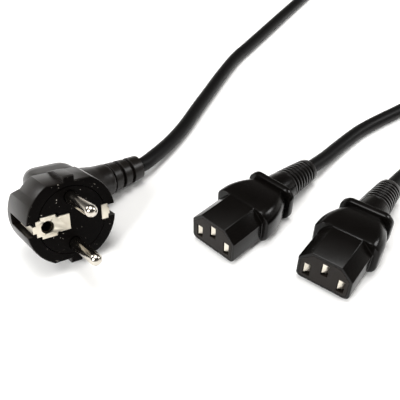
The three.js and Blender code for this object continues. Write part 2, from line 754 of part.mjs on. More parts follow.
function shoulders() {
  const z = SHOULDER_HEIGHT / 2 + SHOULDER_LIFT;
  const sunk = (share) => z - SHOULDER_SINK * share;
  const halfX = SHOULDER_WIDTH / 2;
  const halfZ = SHOULDER_HEIGHT / 2;
  const radius = SHOULDER_RADIUS;
  return loft(
    [
      { y: NOSE_LENGTH - 0.6, z, halfX: halfX - 1.6, halfZ: halfZ - 1.2, radius },
      { y: NOSE_LENGTH, z, halfX: halfX - 0.5, halfZ: halfZ - 0.3, radius },
      { y: NOSE_LENGTH + 0.9, z, halfX, halfZ, radius },
      { y: NOSE_LENGTH + 4, z, halfX, halfZ, radius },
      { y: NOSE_LENGTH + 8, z: sunk(0.2), halfX: halfX - 0.6, halfZ: halfZ - 0.3, radius },
      { y: NOSE_LENGTH + 12, z: sunk(0.5), halfX: halfX - 1.9, halfZ: halfZ - 0.8, radius },
      { y: NOSE_LENGTH + 15.5, z: sunk(0.8), halfX: halfX - 3.4, halfZ: halfZ - 1.4, radius },
      { y: BODY_LENGTH, z: sunk(1), halfX: halfX - 4.9, halfZ: halfZ - 1.8, radius },
    ],
    7,
  );
}

function collar() {
  const front = BODY_LENGTH - SKIN_OVERLAP;
  const back = BODY_LENGTH + COLLAR_THICKNESS;
  const ring = (y, trim) => ({
    y,
    z: COLLAR_HEIGHT / 2,
    halfX: COLLAR_WIDTH / 2 - trim,
    halfZ: COLLAR_HEIGHT / 2 - trim,
    radius: COLLAR_RADIUS - trim,
  });
  return loft(
    [ring(front, COLLAR_EDGE), ring(front + COLLAR_EDGE, 0), ring(back - COLLAR_EDGE, 0), ring(back, COLLAR_EDGE)],
    7,
  );
}

function connectorRelief() {
  const grooves = Array.from({ length: CONNECTOR_RELIEF_GROOVES }, (_, k) => 7 + k * CONNECTOR_GROOVE_PITCH);
  const stations = reliefStations(
    CONNECTOR_RELIEF_LENGTH,
    CONNECTOR_RELIEF_DIAMETER / 2,
    CONNECTOR_RELIEF_END_DIAMETER / 2,
    grooves,
    GROOVE_WIDTH,
    GROOVE_DEPTH,
  );
  return sleeve(connectorAxis(), stations, 14);
}

// A round bore along an axis, open at both ends of it
function boreAlong(axis, radius, steps, lead = 2) {
  const first = axis.getPointAt(0).addScaledVector(axis.getTangentAt(0), -lead);
  const last = axis.getPointAt(1).addScaledVector(axis.getTangentAt(1), lead);
  return tube(new THREE.CatmullRomCurve3([first, ...axis.points, last]), radius, 10, steps);
}

function connectorBody(prefix) {
  const pocketBack = CARRIER_LENGTH + SEAT_GAP;
  const room = loft(
    [
      { y: pocketBack - 1, z: CONNECTOR_AXIS_HEIGHT + 0.6, halfX: 8.6, halfZ: 4.6, radius: 2 },
      { y: pocketBack + 5, z: CONNECTOR_AXIS_HEIGHT + 0.6, halfX: 8.2, halfZ: 4.6, radius: 2 },
      { y: RELIEF_START, z: CONNECTOR_AXIS_HEIGHT, halfX: 5, halfZ: 3.8, radius: 2 },
    ],
    3,
  );
  const nose = prism(faceShape(), 0, NOSE_LENGTH + SKIN_OVERLAP, 6);
  const shapes = [nose, shoulders(), collar(), connectorRelief()];
  const cuts = [
    prism(faceShape(NOSE_WALL), -1, pocketBack, 6),
    room,
    boreAlong(connectorAxis(), CORE_BORE_RADIUS, 6),
  ];
  return piece(`${prefix}_body`, carved(shapes, cuts), black);
}

function connectorCarrier(prefix) {
  const block = prism(faceShape(NOSE_WALL + SEAT_GAP), 0, CARRIER_LENGTH, 6);
  const cuts = Object.values(slotCentres()).map(([x, z]) =>
    box(x - SLOT_WIDTH / 2, x + SLOT_WIDTH / 2, -1, CARRIER_LENGTH + 1, z - SLOT_HEIGHT / 2, z + SLOT_HEIGHT / 2),
  );
  return piece(`${prefix}_carrier`, carved([block], cuts), carrierBlack);
}

function connectorContact(prefix, pole) {
  const [x, z] = slotCentres()[pole];
  const halfX = SLOT_WIDTH / 2 - SEAT_GAP;
  const halfZ = SLOT_HEIGHT / 2 - SEAT_GAP;
  const front = CONTACT_RECESS;
  const back = CONTACT_RECESS + CONTACT_LENGTH;
  const pocket = box(
    x - halfX + CONTACT_WALL,
    x + halfX - CONTACT_WALL,
    front - 1,
    front + CONTACT_POCKET,
    z - halfZ + CONTACT_WALL,
    z + halfZ - CONTACT_WALL,
  );
  const barrel = new THREE.CylinderGeometry(halfX, halfX, CONTACT_BARREL_LENGTH + 1, 12).translate(
    x,
    back + (CONTACT_BARREL_LENGTH - 1) / 2,
    z,
  );
  const blade = box(x - halfX, x + halfX, front, back, z - halfZ, z + halfZ);
  return piece(`${prefix}_contact_${pole}`, carved([blade, barrel], [pocket]), nickel);
}

function connectorCores(prefix) {
  const start = CONTACT_RECESS + CONTACT_LENGTH + CONTACT_BARREL_LENGTH + SEAT_GAP;
  const starts = POLES.map((pole) => {
    const [x, z] = slotCentres()[pole];
    return [new THREE.Vector3(x, start, z), new THREE.Vector3(x, start + 1.5, z)];
  });
  const axis = connectorAxis();
  const across = new THREE.Vector3(1, 0, 0);
  const axisPoints = [0.03, 0.35, 0.7, 0.995].map((at) => ({ point: axis.getPointAt(at), across }));
  return laidCores(prefix, starts, axisPoints, [330, 210, 90]);
}

function makeConnector({ name, at, turn }) {
  const prefix = `connector_${name}`;
  const group = new THREE.Group();
  group.add(connectorBody(prefix), connectorCarrier(prefix));
  for (const pole of POLES) group.add(connectorContact(prefix, pole));
  group.add(...connectorCores(prefix));
  group.position.set(at.x, at.y, 0);
  group.rotation.z = turn;
  return group;
}

// Y splitter

const SPLITTER_AXIS_HEIGHT = SPLITTER_HEIGHT / 2;

// A relief's axis, away from the splitter's middle along Y (way = 1 or -1)
function splitterAxis(x, way, length) {
  const start = SPLITTER_LENGTH / 2 - 2;
  const end = SPLITTER_LENGTH / 2 + length;
  return new THREE.CatmullRomCurve3([
    new THREE.Vector3(x, way * start, SPLITTER_AXIS_HEIGHT),
    new THREE.Vector3(x, (way * (start + end)) / 2, SPLITTER_AXIS_HEIGHT - SPLITTER_RELIEF_DROP / 5),
    new THREE.Vector3(x, way * end, SPLITTER_AXIS_HEIGHT - SPLITTER_RELIEF_DROP),
  ]);
}

function splitterAxes() {
  return {
    main: splitterAxis(0, 1, MAIN_RELIEF_LENGTH),
    left: splitterAxis(-TAIL_PITCH / 2, -1, TAIL_RELIEF_LENGTH),
    right: splitterAxis(TAIL_PITCH / 2, -1, TAIL_RELIEF_LENGTH),
  };
}

function splitterRelief(axis) {
  const length = axis.getLength();
  const firstGroove = length - SPLITTER_RELIEF_GROOVES * SPLITTER_GROOVE_PITCH - 2;
  const grooves = Array.from({ length: SPLITTER_RELIEF_GROOVES }, (_, k) => firstGroove + k * SPLITTER_GROOVE_PITCH);
  const stations = reliefStations(
    length,
    SPLITTER_RELIEF_DIAMETER / 2,
    SPLITTER_RELIEF_END_DIAMETER / 2,
    grooves,
    GROOVE_WIDTH,
    GROOVE_DEPTH,
  );
  return sleeve(axis, stations, 12);
}

function splitterBody() {
  const half = SPLITTER_LENGTH / 2;
  const ring = (y, trimX, trimZ) => ({
    y,
    z: SPLITTER_AXIS_HEIGHT,
    halfX: SPLITTER_WIDTH / 2 - trimX,
    halfZ: SPLITTER_HEIGHT / 2 - trimZ,
    radius: SPLITTER_RADIUS,
  });
  const hull = loft([
    ring(-half, 1.6, 0.8),
    ring(-half + 0.8, 0.5, 0.2),
    ring(-half + 2.5, 0, 0),
    ring(half - 14, 0, 0),
    ring(half - 8, 1.2, 0),
    ring(half - 3, 3.6, 0.1),
    ring(half - 0.8, 5, 0.3),
    ring(half, 6, 0.9),
  ]);
  const axes = splitterAxes();
  const room = loft(
    [
      {
        y: -SPLITTER_CAVITY_LENGTH / 2,
        z: SPLITTER_AXIS_HEIGHT,
        halfX: SPLITTER_CAVITY_WIDTH / 2,
        halfZ: SPLITTER_CAVITY_HEIGHT / 2,
        radius: 2,
      },
      {
        y: SPLICE_LENGTH / 2 + 1,
        z: SPLITTER_AXIS_HEIGHT,
        halfX: SPLITTER_CAVITY_WIDTH / 2 - 1,
        halfZ: SPLITTER_CAVITY_HEIGHT / 2,
        radius: 2,
      },
      {
        y: SPLITTER_CAVITY_LENGTH / 2 + 4,
        z: SPLITTER_AXIS_HEIGHT,
        halfX: SPLITTER_CAVITY_HEIGHT * 0.4,
        halfZ: SPLITTER_CAVITY_HEIGHT * 0.4,
        radius: 2,
      },
    ],
    3,
  );
  const mouthRadius = SPLICE_TIER + CORE_DIAMETER / 2 + SEAT_GAP;
  const mouths = Object.values(axes).map((axis) => {
    const point = axis.getPointAt(0);
    const middle = point.y + 2 * Math.sign(point.y);
    return new THREE.CylinderGeometry(mouthRadius, mouthRadius, 9, 12).translate(point.x, middle, point.z);
  });
  const bores = Object.values(axes).map((axis) => boreAlong(axis, CORE_BORE_RADIUS, 4));
  const shapes = [hull, ...Object.values(axes).map(splitterRelief)];
  return piece('splitter_body', carved(shapes, [room, ...mouths, ...bores]), black);
}

function splicePlace(k) {
  return new THREE.Vector3((k - 1) * SPLICE_PITCH, 0, SPLITTER_AXIS_HEIGHT + (k - 1) * SPLICE_TIER);
}

function splice(pole, k) {
  const radius = SPLICE_DIAMETER / 2;
  const at = splicePlace(k);
  const barrel = cleaned(new THREE.CylinderGeometry(radius, radius, SPLICE_LENGTH, 14));
  return piece(`splitter_splice_${pole}`, barrel.translate(at.x, at.y, at.z), nickel);
}

function splitterMainCores(axis) {
  const across = new THREE.Vector3(1, 0, 0);
  const starts = POLES.map((pole, k) => {
    const from = splicePlace(k).add(new THREE.Vector3(0, SPLICE_LENGTH / 2 + SEAT_GAP, 0));
    return [from, from.clone().add(new THREE.Vector3(0, 1.5, 0))];
  });
  const axisPoints = [0.18, 0.45, 0.7, 0.995].map((at) => ({ point: axis.getPointAt(at), across }));
  return laidCores('splitter_main', starts, axisPoints, [210, 330, 90]);
}

function splitterTailCores(name, side, axis) {
  const across = new THREE.Vector3(1, 0, 0);
  const beside = (CORE_DIAMETER + TAIL_CORE_GAP) / 2;
  const mouth = axis.getPointAt(0);
  const starts = POLES.map((pole, k) => {
    const from = splicePlace(k).add(new THREE.Vector3(side * beside, -SPLICE_LENGTH / 2 - SEAT_GAP, 0));
    const aside = k === 1 ? CORE_LAY_RADIUS + TAIL_CORE_GAP : 0;
    const gathered = new THREE.Vector3(mouth.x + aside, mouth.y + 2.5, from.z);
    return [from, from.clone().add(new THREE.Vector3(0, -0.6, 0)), gathered];
  });
  const axisPoints = [0.25, 0.45, 0.7, 0.995].map((at) => ({ point: axis.getPointAt(at), across }));
  return laidCores(`splitter_${name}`, starts, axisPoints, [240, 0, 120]);
}

function makeSplitter() {
  const group = new THREE.Group();
  const axes = splitterAxes();
  group.add(splitterBody(), ...POLES.map(splice));
  group.add(...splitterMainCores(axes.main));
  group.add(...splitterTailCores('left', -1, axes.left), ...splitterTailCores('right', 1, axes.right));
  group.position.set(SPLITTER_PLACE.x, SPLITTER_PLACE.y, 0);
  group.rotation.z = SPLITTER_TURN;
  return group;
}

// Cords. Each path is a list of points chosen by hand, from one piece's relief to the next.

const MAIN_CORD_PATH = [
  [-28.2, 197, 6.25],
  [-25.9, 199.2, 5.9],
  [-19.7, 209.4, 4.8],
  [-13.8, 220.6, 3.8],
  [-7.8, 233.9, 3.4],
  [-1.7, 249.9, 3.4],
  [5.1, 267.1, 3.4],
  [12.6, 286, 3.4],
  [21.4, 305.9, 3.4],
  [30.4, 321.4, 3.4],
  [44.7, 346.1, 3.4],
  [59, 370.8, 3.4],
  [73.4, 395.5, 3.4],
  [90.4, 425, 3.7],
  [107.2, 454.1, 4.3],
];
const MAIN_CORD_END_PATH = [
  [183.9, 413.6, 7.45],
  [180.5, 404.1, 6.8],
  [175.4, 390.1, 5.95],
];
const LEFT_TAIL_PATH = [
  [49.65, 195, 6],
  [59.3, 205.2, 4.6],
  [68.7, 216.2, 3.7],
  [81.2, 229, 3.4],
  [93.5, 238.6, 3.4],
  [106.5, 247.9, 3.4],
  [118.5, 257.5, 3.4],
  [127.3, 270, 3.4],
  [133.2, 285.5, 3.6],
  [137.3, 301.5, 4.4],
  [141.75, 318.7, 5.95],
];
const RIGHT_TAIL_PATH = [
  [83.6, 181.35, 6],
  [91.4, 190.6, 4.6],
  [101.5, 200.8, 3.7],
  [112.5, 212.5, 3.4],
  [123, 226, 3.4],
  [132.8, 241.5, 3.4],
  [141.3, 259, 3.4],
  [148, 277.5, 3.6],
  [151.4, 297.2, 4.5],
  [155.3, 314, 5.95],
];

function cord(name, path, diameter, steps) {
  const curve = new THREE.CatmullRomCurve3(path.map(([x, y, z]) => new THREE.Vector3(x, y, z)));
  return piece(name, cleaned(tube(curve, diameter / 2, 10, steps)), cordBlack);
}

function coilSection(grow) {
  const low = (COIL_TURNS_BELOW * MAIN_CORD_DIAMETER) / 2;
  const high = (COIL_TURNS_ABOVE * MAIN_CORD_DIAMETER) / 2;
  const base = TIE_THICKNESS + SEAT_GAP;
  const top = base + MAIN_CORD_DIAMETER * (1 + Math.sqrt(3) / 2);
  const shoulder = base + MAIN_CORD_DIAMETER * 0.75;
  const trim = MAIN_CORD_DIAMETER * 0.25;
  const side = grow + (grow ? TIE_SLACK - SEAT_GAP : 0);
  return [
    [-low + trim - side, base - grow],
    [low - trim + side, base - grow],
    [low + side, base + trim],
    [low + side, shoulder],
    [high + side, top - trim],
    [high - trim + side, top + grow],
    [-high + trim - side, top + grow],
    [-high - side, top - trim],
    [-low - side, shoulder],
    [-low - side, base + trim],
  ];
}

function coil() {
  const section = coilSection(0);
  const profile = [...section, section[0]].map(([across, z]) => [COIL_MEAN_RADIUS + across, z]);
  const ring = turned(profile, 36);
  const turn = new THREE.Matrix4().makeRotationX(Math.PI / 2);
  ring.applyMatrix4(turn);
  ring.translate(COIL_PLACE.x, COIL_PLACE.y, 0);
  return piece('main_cord_coil', cleaned(ring), cordBlack);
}

function coilTie(index) {
  const angle = THREE.MathUtils.degToRad(TIE_ANGLES[index]);
  const outline = (grow) => coilSection(grow).map(([x, z]) => new THREE.Vector2(x, z));
  const shape = new THREE.Shape(outline(SEAT_GAP + TIE_THICKNESS));
  shape.holes.push(new THREE.Path(outline(SEAT_GAP)));
  const band = prism(shape, -TIE_WIDTH / 2, TIE_WIDTH / 2);
  band.translate(COIL_MEAN_RADIUS, 0, 0).rotateZ(angle).translate(COIL_PLACE.x, COIL_PLACE.y, 0);
  return piece(`coil_tie_${index + 1}`, cleaned(band), black);
}

function makeCords() {
  const group = new THREE.Group();
  group.add(cord('main_cord_start', MAIN_CORD_PATH, MAIN_CORD_DIAMETER, 18));
  group.add(coil(), ...TIE_ANGLES.map((_, index) => coilTie(index)));
  group.add(cord('main_cord_end', MAIN_CORD_END_PATH, MAIN_CORD_DIAMETER, 4));
  group.add(cord('tail_cord_left', LEFT_TAIL_PATH, TAIL_CORD_DIAMETER, 12));
  group.add(cord('tail_cord_right', RIGHT_TAIL_PATH, TAIL_CORD_DIAMETER, 12));
  return group;
}

const root = new THREE.Group();
root.add(makePlug(), ...CONNECTOR_PLACES.map(makeConnector), makeSplitter(), makeCords());
root.position.set(-MIDDLE.x, -MIDDLE.y, 0);
root.updateMatrixWorld(true);

export default root;
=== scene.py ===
import logging
import math
from dataclasses import dataclass, field, replace
from enum import Enum

import bmesh
import bpy
from mathutils import Euler, Matrix, Vector


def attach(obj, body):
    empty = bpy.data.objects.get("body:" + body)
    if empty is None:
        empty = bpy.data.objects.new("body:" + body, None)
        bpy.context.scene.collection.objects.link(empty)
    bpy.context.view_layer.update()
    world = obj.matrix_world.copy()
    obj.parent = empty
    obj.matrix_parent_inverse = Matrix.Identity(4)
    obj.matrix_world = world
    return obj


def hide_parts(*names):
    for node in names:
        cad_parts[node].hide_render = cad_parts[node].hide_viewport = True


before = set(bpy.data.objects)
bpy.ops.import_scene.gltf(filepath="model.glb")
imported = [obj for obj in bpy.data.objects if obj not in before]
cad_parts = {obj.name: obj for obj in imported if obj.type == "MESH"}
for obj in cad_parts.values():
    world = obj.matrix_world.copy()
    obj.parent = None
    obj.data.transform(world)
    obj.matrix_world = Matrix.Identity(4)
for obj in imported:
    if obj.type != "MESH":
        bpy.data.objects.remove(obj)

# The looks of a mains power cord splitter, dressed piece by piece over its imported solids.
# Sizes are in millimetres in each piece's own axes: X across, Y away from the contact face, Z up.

LOG = logging.getLogger("power_cord_splitter")
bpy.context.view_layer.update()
# Metres in a millimetre.
MM = 0.001
# The frame's origin. Places on the floor are in millimetres from the point under the camera.
MIDDLE = Vector((53.07, 257.345, 0.0))

Outline = list[Vector]
Ring = list[Vector]


class Pole(Enum):
    """The three conductors of the lead."""

    LIVE = "live"
    NEUTRAL = "neutral"
    EARTH = "earth"


class Join(Enum):
    """How one solid changes another."""

    UNION = "UNION"
    DIFFERENCE = "DIFFERENCE"


# Colours, nodes and finishes


def linear(hex_colour: str) -> tuple[float, float, float, float]:
    """Turn an sRGB hex colour into linear light.

    Args:
        hex_colour: Six hex digits.

    Returns:
        Red, green, blue and alpha, from 0 to 1.
    """
    parts = [int(hex_colour[i : i + 2], 16) / 255 for i in (0, 2, 4)]
    light = [p / 12.92 if p <= 0.04045 else ((p + 0.055) / 1.055) ** 2.4 for p in parts]
    return (*light, 1.0)


def add_node(
    tree: bpy.types.NodeTree, kind: str, settings: dict | None = None, links: dict | None = None
) -> bpy.types.Node:
    """Add one shader node.

    Args:
        tree: The node tree that gets it.
        kind: The node's Blender type.
        settings: Values by attribute name, or by input socket name or number.
        links: Output sockets by the input socket name or number that they feed.

    Returns:
        The new node.
    """
    node = tree.nodes.new(kind)
    for name, value in (settings or {}).items():
        if isinstance(name, str) and hasattr(node, name) and name not in node.inputs:
            setattr(node, name, value)
        else:
            node.inputs[name].default_value = value
    for name, source in (links or {}).items():
        tree.links.new(source, node.inputs[name])
    return node


def new_material(name: str) -> tuple[bpy.types.Material, bpy.types.Node]:
    """Make an empty node material.

    Args:
        name: The finish's name.

    Returns:
        The material and its output node.
    """
    material = bpy.data.materials.new(name)
    material.use_nodes = True
    material.node_tree.nodes.clear()
    return material, add_node(material.node_tree, "ShaderNodeOutputMaterial")


def noise_node(
    tree: bpy.types.NodeTree,
    place: bpy.types.NodeSocket,
    size_mm: float,
    detail: float,
    roughness: float = 0.5,
) -> bpy.types.Node:
    """Add a noise whose blotches have a real size.

    Args:
        tree: The node tree that gets it.
        place: The coordinates that it reads.
        size_mm: About how large a blotch is.
        detail: How many finer layers it has.
        roughness: How strong the finer layers are.

    Returns:
        The noise node.
    """
    settings = {"Scale": 1 / (size_mm * MM), "Detail": detail, "Roughness": roughness}
    return add_node(tree, "ShaderNodeTexNoise", settings, {"Vector": place})


def spread_node(
    tree: bpy.types.NodeTree, middle: float, spread: float, source: bpy.types.NodeSocket
) -> bpy.types.Node:
    """Spread a value from 0 to 1 evenly about a middle.

    Args:
        tree: The node tree that gets it.
        middle: The middle of the new range.
        spread: How wide the new range is.
        source: The value.

    Returns:
        The map range node.
    """
    settings = {"To Min": middle - spread / 2, "To Max": middle + spread / 2}
    return add_node(tree, "ShaderNodeMapRange", settings, {"Value": source})


def bump_node(tree: bpy.types.NodeTree, depth_mm: float, links: dict) -> bpy.types.Node:
    """Add a bump whose depth is a real size.

    Args:
        tree: The node tree that gets it.
        depth_mm: How deep it is.
        links: What feeds its height and, where it lies over another bump, its normal.

    Returns:
        The bump node.
    """
    return add_node(tree, "ShaderNodeBump", {"Strength": 1.0, "Distance": depth_mm * MM}, links)


@dataclass(frozen=True)
class MouldedPVC:
    """Flexible PVC, injection moulded: dark, with a satin skin and a faint grain from the tool."""

    name: str
    colour: str = "0a0909"
    tint: str = "100f0e"
    roughness: float = 0.3
    spread: float = 0.1
    grain_mm: float = 0.35
    grain_depth_mm: float = 0.012
    wave_mm: float = 9.0
    wave_depth_mm: float = 0.03
    specular: float = 0.24
    # Pale flecks painted into the colour: painted glints off the grain.
    painted_glint: float = 0.0
    painted_glint_mm: float = 1.1
    painted_glint_colour: str = "b8b2a8"
    painted_glint_levels: tuple[float, float] = (0.7, 0.76)

    def material(self) -> bpy.types.Material:
        """Build the material: blotchy roughness, fine grain, shrinkage waves and any painted glints, as pale
        flecks in the colour.

        Returns:
            The material.
        """
        material, output = new_material(self.name)
        tree = material.node_tree
        place = add_node(tree, "ShaderNodeTexCoord").outputs["Object"]
        patches = noise_node(tree, place, self.wave_mm, 4.0)
        grain = noise_node(tree, place, self.grain_mm, 3.0, 0.6)
        colour = add_node(
            tree,
            "ShaderNodeMix",
            {"data_type": "RGBA", 6: linear(self.colour), 7: linear(self.tint)},
            {0: patches.outputs["Fac"]},
        )
        # Painted glints: pale flecks mixed into the colour where this noise peaks.
        glint_noise = noise_node(tree, place, self.painted_glint_mm, 2.0, 0.7)
        low, high = self.painted_glint_levels
        caught = add_node(
            tree,
            "ShaderNodeMapRange",
            {"From Min": low, "From Max": high, "To Max": self.painted_glint},
            {"Value": glint_noise.outputs["Fac"]},
        )
        glint_painted_colour = add_node(
            tree,
            "ShaderNodeMix",
            {"data_type": "RGBA", 7: linear(self.painted_glint_colour)},
            {0: caught.outputs["Result"], 6: colour.outputs[2]},
        )
        rough = spread_node(tree, self.roughness, self.spread, patches.outputs["Fac"])
        waves = bump_node(tree, self.wave_depth_mm, {"Height": patches.outputs["Fac"]})
        heights = {"Height": grain.outputs["Fac"], "Normal": waves.outputs["Normal"]}
        bump = bump_node(tree, self.grain_depth_mm, heights)
        shader = add_node(
            tree,
            "ShaderNodeBsdfPrincipled",
            {"IOR": 1.5, "Specular IOR Level": self.specular},
            {
                "Base Color": glint_painted_colour.outputs[2],
                "Roughness": rough.outputs["Result"],
                "Normal": bump.outputs["Normal"],
            },
        )
        tree.links.new(shader.outputs["BSDF"], output.inputs["Surface"])
        return material


@dataclass(frozen=True)
class PlatedMetal:
    """Brass under nickel plate: a warm pale mirror, softened by drawing lines and handling."""

    name: str
    colour: str = "d9d4cb"
    shade: str = "b9b2a6"
    roughness: float = 0.2
    spread: float = 0.12
    mottle_mm: float = 2.5
    line_mm: float = 0.5
    depth_mm: float = 0.006

    def material(self) -> bpy.types.Material:
        """Build the material: mottled plate over fine scratches.

        Returns:
            The material.
        """
        material, output = new_material(self.name)
        tree = material.node_tree
        place = add_node(tree, "ShaderNodeTexCoord").outputs["Object"]
        mottle = noise_node(tree, place, self.mottle_mm, 5.0)
        lines = noise_node(tree, place, self.line_mm, 4.0, 0.7)
        colour = add_node(
            tree,
            "ShaderNodeMix",
            {"data_type": "RGBA", 6: linear(self.colour), 7: linear(self.shade)},
            {0: mottle.outputs["Fac"]},
        )
        rough = spread_node(tree, self.roughness, self.spread, mottle.outputs["Fac"])
        bump = bump_node(tree, self.depth_mm, {"Height": lines.outputs["Fac"]})
        shader = add_node(
            tree,
            "ShaderNodeBsdfPrincipled",
            {"Metallic": 1.0},
            {
                "Base Color": colour.outputs[2],
                "Roughness": rough.outputs["Result"],
                "Normal": bump.outputs["Normal"],
            },
        )
        tree.links.new(shader.outputs["BSDF"], output.inputs["Surface"])
        return material


# Moulded PVC takes a satin skin: broad soft reflections that pick out the plug's flats.
PLUG_SKIN = MouldedPVC(
    "satin_moulded_pvc_plug",
    colour="0f0c0a",
    tint="15110e",
    roughness=0.33,
    specular=0.3,
)
# The connectors' tool is polished finer: a blacker skin with tighter highlights on its edges.
CONNECTOR_SKIN = MouldedPVC(
    "satin_moulded_pvc_connector",
    colour="080706",
    tint="0c0a09",
    roughness=0.22,
    specular=0.18,
    grain_depth_mm=0.008,
)
# The carrier is a stiffer plastic, moulded matt: an even, warmer dark grey round the slots.
CARRIER_SKIN = MouldedPVC(
    "matt_moulded_pbt_carrier",
    colour="14100d",
    tint="1a1511",
    roughness=0.42,
    specular=0.16,
    grain_depth_mm=0.01,
)
# A spark-eroded tool leaves a coarse grain: near black, with a few pale flecks painted in as glints off the
# grain.
BRIDGE_SKIN = MouldedPVC(
    "spark_textured_pbt_bridge",
    colour="060505",
    tint="0a0807",
    roughness=0.4,
    specular=0.03,
    painted_glint=0.9,
    grain_mm=0.5,
    grain_depth_mm=0.05,
)
# An extruded sheath is duller than a moulded skin: the cords stay near black with dim rims.
SHEATH_SKIN = MouldedPVC(
    "extruded_pvc_sheath",
    colour="080808",
    tint="0c0b0b",
    roughness=0.42,
    specular=0.13,
    grain_mm=0.8,
    grain_depth_mm=0.01,
)
# Soft ties are the dullest and the palest, so they stand out from the cord they hold.
TIE_SKIN = MouldedPVC("soft_pvc_tie", colour="101010", tint="1a1918", roughness=0.5)
# Coloured insulation tells the three cores apart. It is hidden inside the mouldings.
CORE_SKINS = {
    Pole.LIVE: MouldedPVC("brown_pvc_insulation", colour="6b3a1e", tint="5a2f18", roughness=0.4),
    Pole.NEUTRAL: MouldedPVC("blue_pvc_insulation", colour="1f5fae", tint="1b5297", roughness=0.4),
    Pole.EARTH: MouldedPVC("green_yellow_pvc_insulation", colour="4f8a2a", tint="d8c22a", roughness=0.4),
}
# Nickel plate over brass: bright on the turned pins, duller and creamier on the stamped strips.
PIN_PLATE = PlatedMetal("bright_nickel_plated_brass", roughness=0.16)
STRIP_PLATE = PlatedMetal("satin_nickel_plated_strip", colour="e6e0d2", shade="cfc7b6", roughness=0.38)
CONTACT_PLATE = PlatedMetal("nickel_plated_contact", colour="e9e4d8", shade="d5cdbd", roughness=0.3)
# Brass made darker than its own colour by painted shade: it keeps the hole in the earth plate dark.
# Bare brass gone dull, which is a guess: it keeps the hole in the earth plate dark.
SLEEVE_METAL_WITH_PAINTED_SHADE = PlatedMetal("brass_with_painted_hole_shade", colour="6e6454", shade="3f392f", roughness=0.42)


# Meshes


@dataclass(frozen=True)
class Corner:
    """One corner of an outline, and the radius that rounds it."""

    x: float
    z: float
    radius: float


def rounded_outline(corners: list[Corner], steps: int) -> Outline:
    """Round every corner of a polygon.

    Args:
        corners: The corners, anticlockwise.
        steps: Points on each corner's arc.

    Returns:
        The outline's points, the same number for each corner.
    """
    points: Outline = []
    for i, corner in enumerate(corners):
        here = Vector((corner.x, corner.z))
        before = (Vector((corners[i - 1].x, corners[i - 1].z)) - here).normalized()
        after_corner = corners[(i + 1) % len(corners)]
        after = (Vector((after_corner.x, after_corner.z)) - here).normalized()
        half = before.angle(after) / 2
        radius = max(corner.radius, 0.01)
        centre = here + (before + after).normalized() * (radius / math.sin(half))
        start = here + before * (radius / math.tan(half)) - centre
        end = here + after * (radius / math.tan(half)) - centre
        first = math.atan2(start.y, start.x)
        turn = (math.atan2(end.y, end.x) - first + math.pi) % (2 * math.pi) - math.pi
        for k in range(steps):
            angle = first + turn * k / (steps - 1)
            points.append(centre + Vector((math.cos(angle), math.sin(angle))) * radius)
    return points


def round_outline(radius: float, count: int, centre: Vector, first: float) -> Outline:
    """Make a circle.

    Args:
        radius: Its radius.
        count: How many points it has.
        centre: Its centre.
        first: The first point's angle, in degrees.

    Returns:
        The circle's points, anticlockwise.
    """
    angles = [math.radians(first) + 2 * math.pi * k / count for k in range(count)]
    return [centre + Vector((math.cos(a), math.sin(a))) * radius for a in angles]


def skin(name: str, rings: list[Ring], place: Matrix) -> bpy.types.Object:
    """Stretch a closed skin over rings of points that all have the same count.

    Args:
        name: The piece's name.
        rings: The rings, in millimetres.
        place: Where the piece lies.

    Returns:
        The mesh object, in metres.
    """
    mesh = bmesh.new()
    rows = [[mesh.verts.new((place @ point) * MM) for point in ring] for ring in rings]
    count = len(rings[0])
    for low, high in zip(rows, rows[1:]):
        for i in range(count):
            j = (i + 1) % count
            mesh.faces.new((low[i], low[j], high[j], high[i]))
    mesh.faces.new(reversed(rows[0]))
    mesh.faces.new(rows[-1])
    bmesh.ops.recalc_face_normals(mesh, faces=mesh.faces)
    return linked(name, mesh)


def rectangle(half_x: float, half_z: float, y: float) -> Ring:
    """Stand a rectangle across the Y axis.

    Args:
        half_x: Half its width.
        half_z: Half its height.
        y: Where it stands.

    Returns:
        The ring's points.
    """
    return [Vector((x * half_x, y, z * half_z)) for x, z in ((-1, -1), (1, -1), (1, 1), (-1, 1))]


def joined(name: str, parts: list[bpy.types.Object]) -> bpy.types.Object:
    """Put several meshes into one piece, without welding them.

    Args:
        name: The piece's name.
        parts: The meshes, which are used up.

    Returns:
        The piece.
    """
    mesh = bmesh.new()
    for part in parts:
        mesh.from_mesh(part.data)
        bpy.data.objects.remove(part)
    return linked(name, mesh)


def linked(name: str, mesh: bmesh.types.BMesh) -> bpy.types.Object:
    """Turn a bmesh into a linked object.

    Args:
        name: The object's name.
        mesh: The bmesh, which is used up.

    Returns:
        The object.
    """
    data = bpy.data.meshes.new(name)
    mesh.to_mesh(data)
    mesh.free()
    piece = bpy.data.objects.new(name, data)
    bpy.context.scene.collection.objects.link(piece)
    return piece


def prism(name: str, outline: Outline, front: float, back: float, place: Matrix) -> bpy.types.Object:
    """Draw an outline of the XZ plane out along Y.

    Args:
        name: The piece's name.
        outline: The outline's points.
        front: Y at its front end.
        back: Y at its back end.
        place: Where the piece lies.

    Returns:
        The mesh object.
    """
    return skin(name, [[Vector((p.x, y, p.y)) for p in outline] for y in (front, back)], place)


def apply_modifiers(piece: bpy.types.Object) -> None:
    """Bake a piece's modifiers into its mesh.

    Args:
        piece: The piece.
    """
    depsgraph = bpy.context.evaluated_depsgraph_get()
    evaluated = piece.evaluated_get(depsgraph)
    data = bpy.data.meshes.new_from_object(evaluated)
    piece.modifiers.clear()
    old = piece.data
    piece.data = data
    bpy.data.meshes.remove(old)


def combine(piece: bpy.types.Object, others: list[bpy.types.Object], join: Join) -> bpy.types.Object:
    """Join solids to a piece, or cut them from it, and delete them.

    Args:
        piece: The piece that stays.
        others: The solids that are used up.
        join: Whether they are added or cut away.

    Returns:
        The piece.
    """
    for other in others:
        change = piece.modifiers.new("change", "BOOLEAN")
        change.operation = join.value
        change.solver = "EXACT"
        change.object = other
        apply_modifiers(piece)
        bpy.data.objects.remove(other)
    return piece


